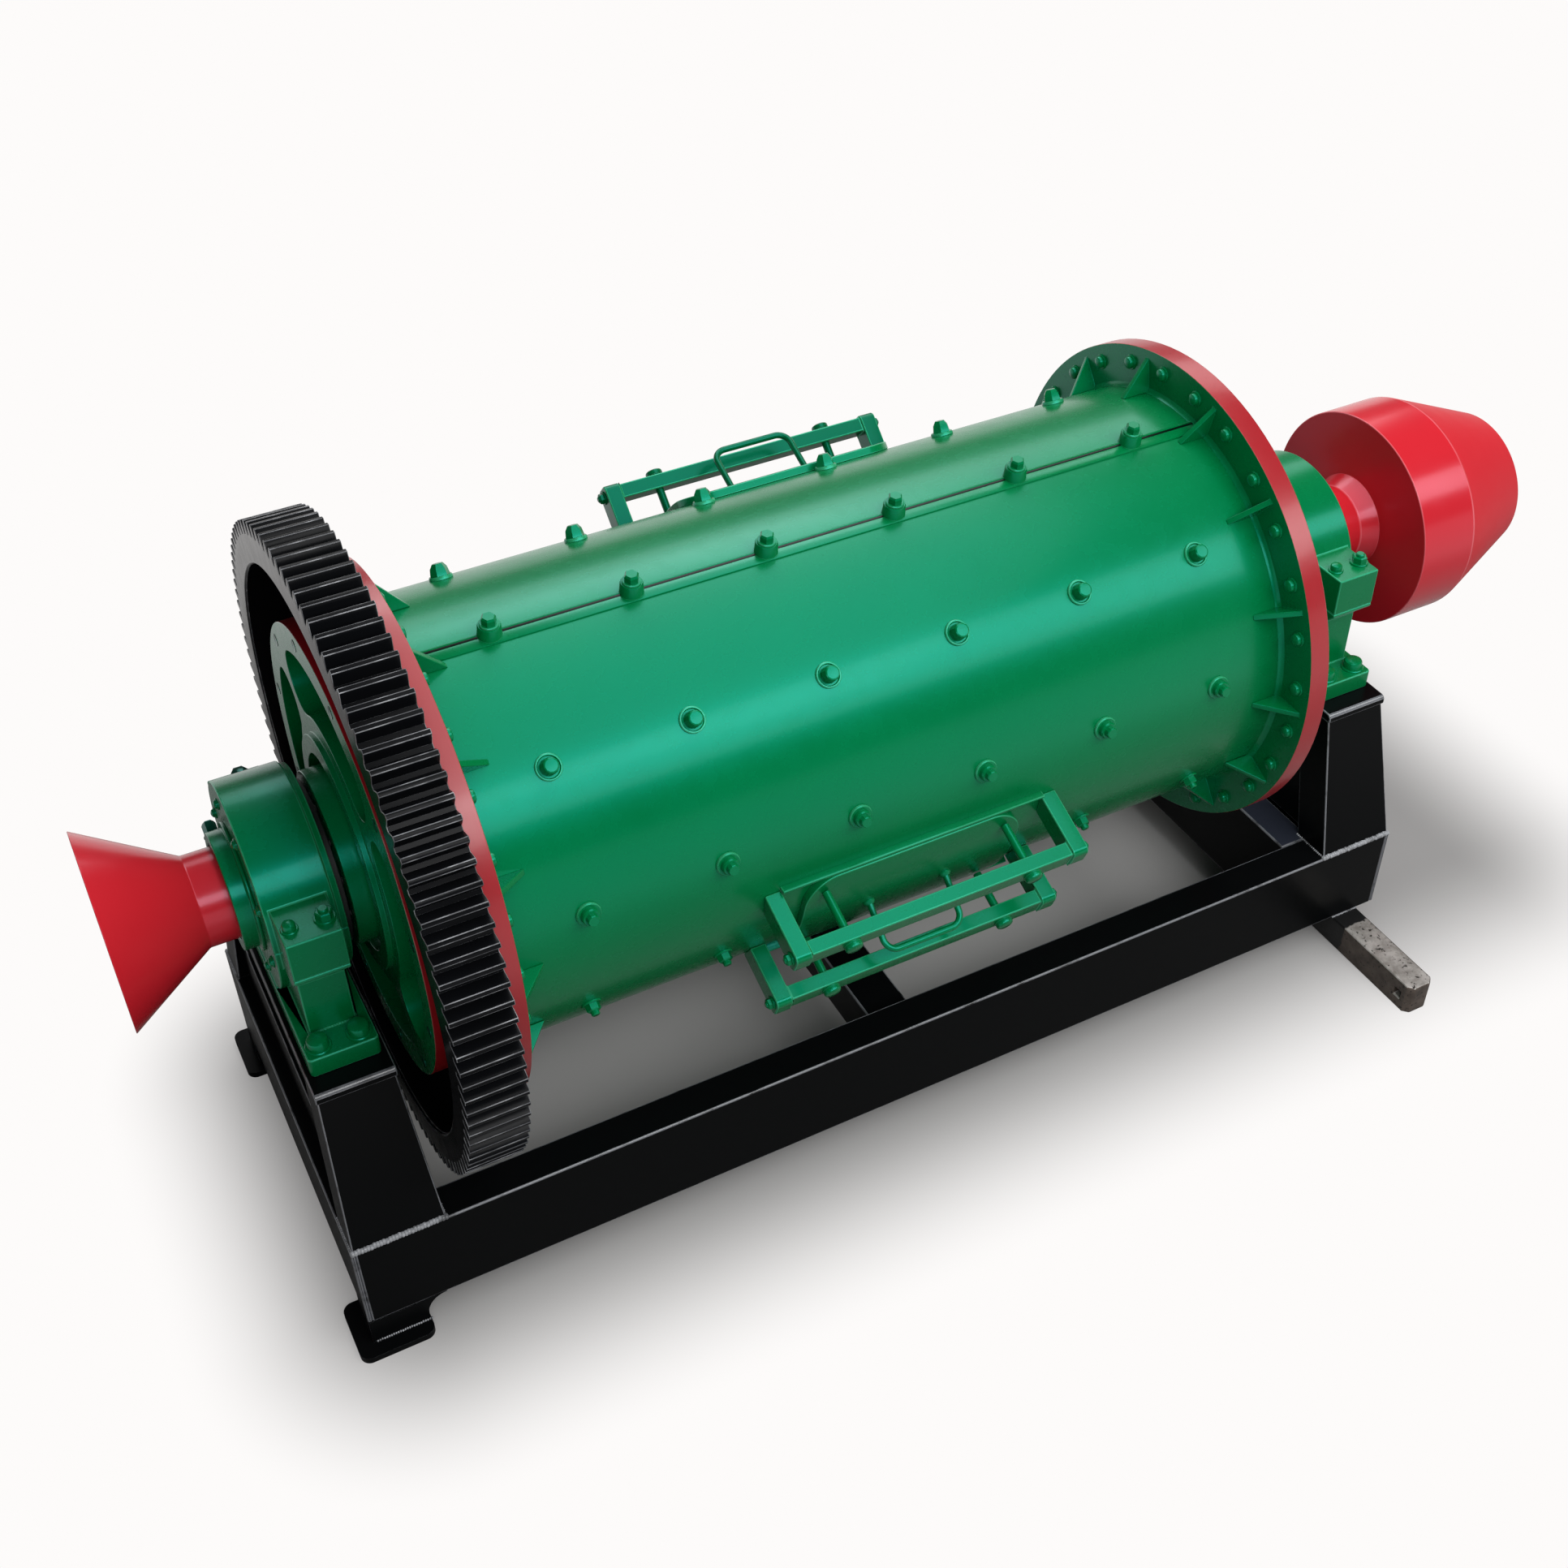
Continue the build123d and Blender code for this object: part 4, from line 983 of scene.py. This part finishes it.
class MILL_OT_flange_bolts(bpy.types.Operator):
    """Bolt the shell's flanges to the heads."""
    bl_idname = "mill.flange_bolts"
    bl_label = "Flange bolts"

    def execute(self, context):
        circle = context.scene.mill_sizes.flange_circle
        paint = palette()
        step = FULL_TURN / FLANGE_BOLTS
        heads, ends = [], []
        for k in range(FLANGE_BOLTS):
            angle = GUSSET_START + (k + 0.5) * step
            heads.append(on_circle(SHELL_LOW.x, angle, circle, 1))
            heads.append(on_circle(SHELL_HIGH.x, angle, circle, -1))
            ends.append(on_circle(SHELL_HIGH.x + 2 * FLANGE_PLATE, angle, circle, 1))
            ends.append(on_circle(SHELL_LOW.x - 2 * FLANGE_PLATE, angle, circle, -1))
        drum_piece(repeated(domed_bolt(13.5, 13, 17), heads), "flange_bolt_heads", [paint.green])
        drum_piece(
            repeated(hex_bolt(13, 10, 15, 3, 8, 10), ends), "flange_bolt_nuts", [paint.green])
        return {"FINISHED"}


class MILL_OT_heads(bpy.types.Operator):
    """Paint the heads and the hollow trunnion, and lay dark discs of painted shade in the discharge head's
    core holes.
    """
    bl_idname = "mill.heads"
    bl_label = "Heads and trunnion"

    def execute(self, context):
        paint = palette()
        coats = [paint.green, paint.rim]
        dress("discharge_head", coats, 2.0 * MM, choose=on_barrel, skip=on_joint, clamp=False)
        turn("feed_head", coats, 2.0 * MM, choose=on_rim, skip=on_joint)
        turn("discharge_trunnion", [paint.green], 2.5 * MM)
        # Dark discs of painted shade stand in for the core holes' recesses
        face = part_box("discharge_head")[0].x + FACE_RECESS
        holes = bolt_circle(face, CORE_HOLES, 15, CORE_CIRCLE, -1)
        unit = spun([(13, 0), (13, 0.8), (11.5, 0.8), (10.5, 0.3), (0, 0.3)], 20)
        drum_piece(repeated(unit, holes), "core_hole_shade_discs", [paint.deep_green_and_hole_shade])
        return {"FINISHED"}


def on_barrel(face):
    """Second material on the outer rim and round the barrel of the discharge head."""
    outward = abs(face.normal.x) < 0.3
    return int(on_rim(face) or (outward and beyond(FLANGE_RADIUS - BARREL_DROP, face)))


class MILL_OT_girth_gear(bpy.types.Operator):
    """Paint the girth gear and rub its tooth edges bright."""
    bl_idname = "mill.girth_gear"
    bl_label = "Girth gear"

    def execute(self, context):
        paint = palette()
        edge = context.scene.mill_sizes.tooth_edge
        dress(
            "girth_gear", [paint.gear, paint.tooth_edge], edge, edge=1, segments=1,
            hollow=0.04, whole=False)
        return {"FINISHED"}


class MILL_OT_trumpet_and_feeder(bpy.types.Operator):
    """Paint the discharge trumpet and the drum feeder."""
    bl_idname = "mill.trumpet_and_feeder"
    bl_label = "Trumpet and feeder"

    def execute(self, context):
        paint = palette()
        turn("discharge_trumpet", [paint.red], 2.0 * MM)
        coats = [paint.red, paint.cone, paint.red_edge_highlight]
        # The feeder's rounded edges take the lighter red, partly a painted highlight
        turn("feeder_neck", coats, 2.5 * MM, edge=2)
        turn("feeder_drum", coats, 2.5 * MM, edge=2, choose=self.on_cone)
        return {"FINISHED"}

    def on_cone(self, face):
        """Second material where a face leans toward the feed end."""
        return int(0.2 < face.normal.x < 0.8)


class MILL_OT_hatches(bpy.types.Operator):
    """Paint the manhole covers, their clamps and their handles, and screw the clamps down."""
    bl_idname = "mill.hatches"
    bl_label = "Manholes"

    def execute(self, context):
        paint = palette()
        edge = context.scene.mill_sizes.plate_edge
        for side, (angle, clamps) in HATCHES.items():
            # The rear fittings take a deeper green as painted shade
            coats = [paint.green if side == "front" else paint.green_rear_shade, paint.green_edge_highlight]
            cover = side + "_manhole_cover"
            # Covers and clamps take the lighter green on their rounded edges, partly a painted highlight
            dress(cover, [paint.green, paint.green_edge_highlight], 2.0 * MM, edge=1, clamp=False)
            dress(side + "_handle", coats, 1.0 * MM)
            for node in SLOTS:
                if node.startswith(side) and node.endswith("clamp"):
                    dress(node, coats, edge, edge=1, clamp=False)
            self.screws(side, angle, clamps, coats)
        return {"FINISHED"}

    def screws(self, side, angle, clamps, coats):
        low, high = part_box(side + "_manhole_cover")
        middle = (low.x + high.x) / 2
        reach = (high.x - low.x) / 2 + PIN_REACH * MM
        heads, shanks, pins = [], [], []
        for across in clamps:
            for end in (-1, 1):
                x = middle + end * SCREW_REACH * MM
                heads.append(around(x, angle, BAR_CREST * MM, across * MM))
                shanks.append(around(x, angle, (COVER_CREST - SCREW_BITE) * MM, across * MM))
                depth = (BAR_CREST - BAR_DEPTH / 2) * MM
                pins.append(facing(around(middle + end * reach, angle, depth, across * MM), end))
        length = BAR_CREST - BAR_DEPTH - COVER_CREST + SCREW_LAP
        feet = [around(middle + end * HANDLE_REACH * MM, angle, COVER_CREST * MM) for end in (-1, 1)]
        fittings = stacked(
            repeated(domed_bolt(19, 14, 20), heads),
            repeated(spun([(9, 0), (9, length)], 14), shanks),
            repeated(hex_bolt(12, 9, 15, 3, 7, 3), pins),
            repeated(spun([(13, 0), (13, 3), (9.5, 7), (7.4, 9)], 18), feet))
        drum_piece(fittings, side + "_clamp_screws", coats[:1])
        span = (high.x - low.x + STRIP_LAP * MM, *(size * MM for size in STRIP_SECTION))
        lean = math.degrees(math.asin(STRIP_ACROSS * MM / SHELL_RADIUS))
        strips = []
        for across in clamps:
            swung = angle - math.copysign(lean, across)
            place = around(middle, swung, SHELL_RADIUS + STRIP_RISE * MM)
            # The strips' rounding takes the lighter green, a painted highlight along the line
            strips.append(brick(span, place, 2.5 * MM, edge=1))
        drum_piece(stacked(*strips), side + "_saddle_strips", coats)


def rays(tree):
    """Whether a ray comes from the camera, and whether it was mirrored or let through."""
    path = add_node(tree, "ShaderNodeLightPath").outputs
    mirrored = maths(tree, "MAXIMUM", path["Is Glossy Ray"], path["Is Transmission Ray"])
    return path["Is Camera Ray"], mirrored


class MILL_OT_stage(bpy.types.Operator):
    """Set the mill on a pale floor under soft lamps and point the camera."""
    bl_idname = "mill.stage"
    bl_label = "Stage"

    def execute(self, context):
        scene = context.scene
        scene.view_settings.view_transform = "Standard"
        self.floor()
        self.world(scene)
        for name, setting in LAMPS.items():
            self.lamp(name, *setting)
        self.camera(scene)
        return {"FINISHED"}

    def floor(self):
        """Matt grey floor that keeps the shadow near the mill, its grey a painted shadow besides the
        lamps' own, and is plain white far from it.
        """
        shape = bmesh.new()
        bmesh.ops.create_grid(shape, x_segments=1, y_segments=1, size=FLOOR_REACH)
        mesh = bpy.data.meshes.new("studio_floor")
        shape.to_mesh(mesh)
        shape.free()
        material = bpy.data.materials.new("Matt studio floor")
        material.use_nodes = True
        tree = material.node_tree
        tree.nodes.clear()
        side = vectors(tree, "ABSOLUTE", vectors(tree, "SUBTRACT", object_place(tree), SHADOW_MIDDLE))
        past = vectors(tree, "SUBTRACT", side, SHADOW_CORE)
        clear = vectors(tree, "MAXIMUM", past, (0.0, 0.0, 0.0))
        away = vectors(tree, "LENGTH", clear, result="Value")
        far = ramp(tree, away, SHADOW_FADE, interpolation_type="SMOOTHSTEP")
        farther = ramp(tree, away, MIRROR_FADE, interpolation_type="SMOOTHSTEP")
        camera, mirrored = rays(tree)
        seen = maths(tree, "MULTIPLY", camera, far)
        share = maths(tree, "MULTIPLY_ADD", mirrored, farther, seen)
        # The matt floor's grey is a painted shadow round the mill, and the paint mirrors it darker there
        matt = add_node(tree, "ShaderNodeBsdfDiffuse", {"Color": colour(linear("989796"))})
        white = add_node(
            tree, "ShaderNodeEmission", {"Color": colour(linear(BACKDROP)), "Strength": 1.0})
        mix = add_node(tree, "ShaderNodeMixShader", {
            0: share, 1: matt.outputs["BSDF"], 2: white.outputs["Emission"]})
        add_node(tree, "ShaderNodeOutputMaterial", {"Surface": mix.outputs["Shader"]})
        mesh.materials.append(material)
        floor = bpy.data.objects.new("studio_floor", mesh)
        bpy.context.scene.collection.objects.link(floor)

    def world(self, scene):
        """Dim air; the camera sees a white backdrop, and paint mirrors its band over the horizon."""
        world = bpy.data.worlds.new("Studio air")
        world.use_nodes = True
        tree = world.node_tree
        tree.nodes.clear()
        place = add_node(tree, "ShaderNodeTexCoord").outputs["Generated"]
        height = add_node(tree, "ShaderNodeSeparateXYZ", {"Vector": place})
        low = ramp(tree, height.outputs["Z"], BACKDROP_FADE, (1.0, 0.0))
        camera, mirrored = rays(tree)
        share = maths(tree, "MAXIMUM", camera, maths(tree, "MULTIPLY", mirrored, low))
        air = add_node(
            tree, "ShaderNodeBackground", {"Color": colour(linear("F2F6FA")), "Strength": 0.12})
        white = add_node(
            tree, "ShaderNodeBackground", {"Color": colour(linear(BACKDROP)), "Strength": 1.0})
        mix = add_node(tree, "ShaderNodeMixShader", {
            0: share, 1: air.outputs["Background"], 2: white.outputs["Background"]})
        add_node(tree, "ShaderNodeOutputWorld", {"Surface": mix.outputs["Shader"]})
        scene.world = world

    def lamp(self, name, place, target, size, watts):
        light = bpy.data.lights.new(name, "AREA")
        light.shape = "RECTANGLE"
        light.size, light.size_y = size
        light.energy = watts
        lamp = bpy.data.objects.new(name, light)
        lamp.location = place
        lamp.rotation_euler = (Vector(target) - Vector(place)).to_track_quat("-Z", "Y").to_euler()
        bpy.context.scene.collection.objects.link(lamp)

    def camera(self, scene):
        azimuth, elevation, roll = (math.radians(a) for a in CAMERA_ANGLES)
        back = Vector((
            math.sin(azimuth) * math.cos(elevation),
            -math.cos(azimuth) * math.cos(elevation),
            math.sin(elevation)))
        right = (-back).cross(Vector((0, 0, 1))).normalized()
        up = right.cross(-back)
        level = Matrix((right, up, back)).transposed()
        camera = bpy.data.cameras.new("Camera")
        camera.lens = CAMERA_LENS
        camera.sensor_width = CAMERA_SENSOR
        camera.clip_end = 1000.0
        body = bpy.data.objects.new("Camera", camera)
        x, y, height = CAMERA_PLACE
        body.matrix_world = (
            Matrix.Translation((x, y, AXIS + height))
            @ level.to_4x4() @ Matrix.Rotation(roll, 4, "Z"))
        scene.collection.objects.link(body)
        scene.camera = body


class MILL_PT_pieces(bpy.types.Panel):
    """Lists the steps that finish the mill."""
    bl_idname = "MILL_PT_pieces"
    bl_label = "Ball mill"
    bl_space_type = "VIEW_3D"
    bl_region_type = "UI"
    bl_category = "Mill"

    def draw(self, context):
        for group in (context.scene.mill_colours, context.scene.mill_sizes):
            for name in group.__annotations__:
                self.layout.prop(group, name)
        for step in STEPS:
            self.layout.operator(step.bl_idname)


STEPS = (
    MILL_OT_frame_steel,
    MILL_OT_frame_welds,
    MILL_OT_skid,
    MILL_OT_bearings,
    MILL_OT_shell,
    MILL_OT_liner_bolts,
    MILL_OT_flange_bolts,
    MILL_OT_heads,
    MILL_OT_girth_gear,
    MILL_OT_trumpet_and_feeder,
    MILL_OT_hatches,
    MILL_OT_stage,
)
CLASSES = (MillColours, MillSizes, *STEPS, MILL_PT_pieces)


def register():
    for kind in CLASSES:
        bpy.utils.register_class(kind)
    bpy.types.Scene.mill_colours = bpy.props.PointerProperty(type=MillColours)
    bpy.types.Scene.mill_sizes = bpy.props.PointerProperty(type=MillSizes)


def unregister():
    del bpy.types.Scene.mill_sizes
    del bpy.types.Scene.mill_colours
    for kind in reversed(CLASSES):
        bpy.utils.unregister_class(kind)


def main():
    register()
    bpy.ops.mill.frame_steel()
    bpy.ops.mill.frame_welds()
    bpy.ops.mill.skid()
    bpy.ops.mill.bearings()
    bpy.ops.mill.shell()
    bpy.ops.mill.liner_bolts()
    bpy.ops.mill.flange_bolts()
    bpy.ops.mill.heads()
    bpy.ops.mill.girth_gear()
    bpy.ops.mill.trumpet_and_feeder()
    bpy.ops.mill.hatches()
    bpy.ops.mill.stage()
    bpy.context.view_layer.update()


if __name__ == "__main__":
    main()
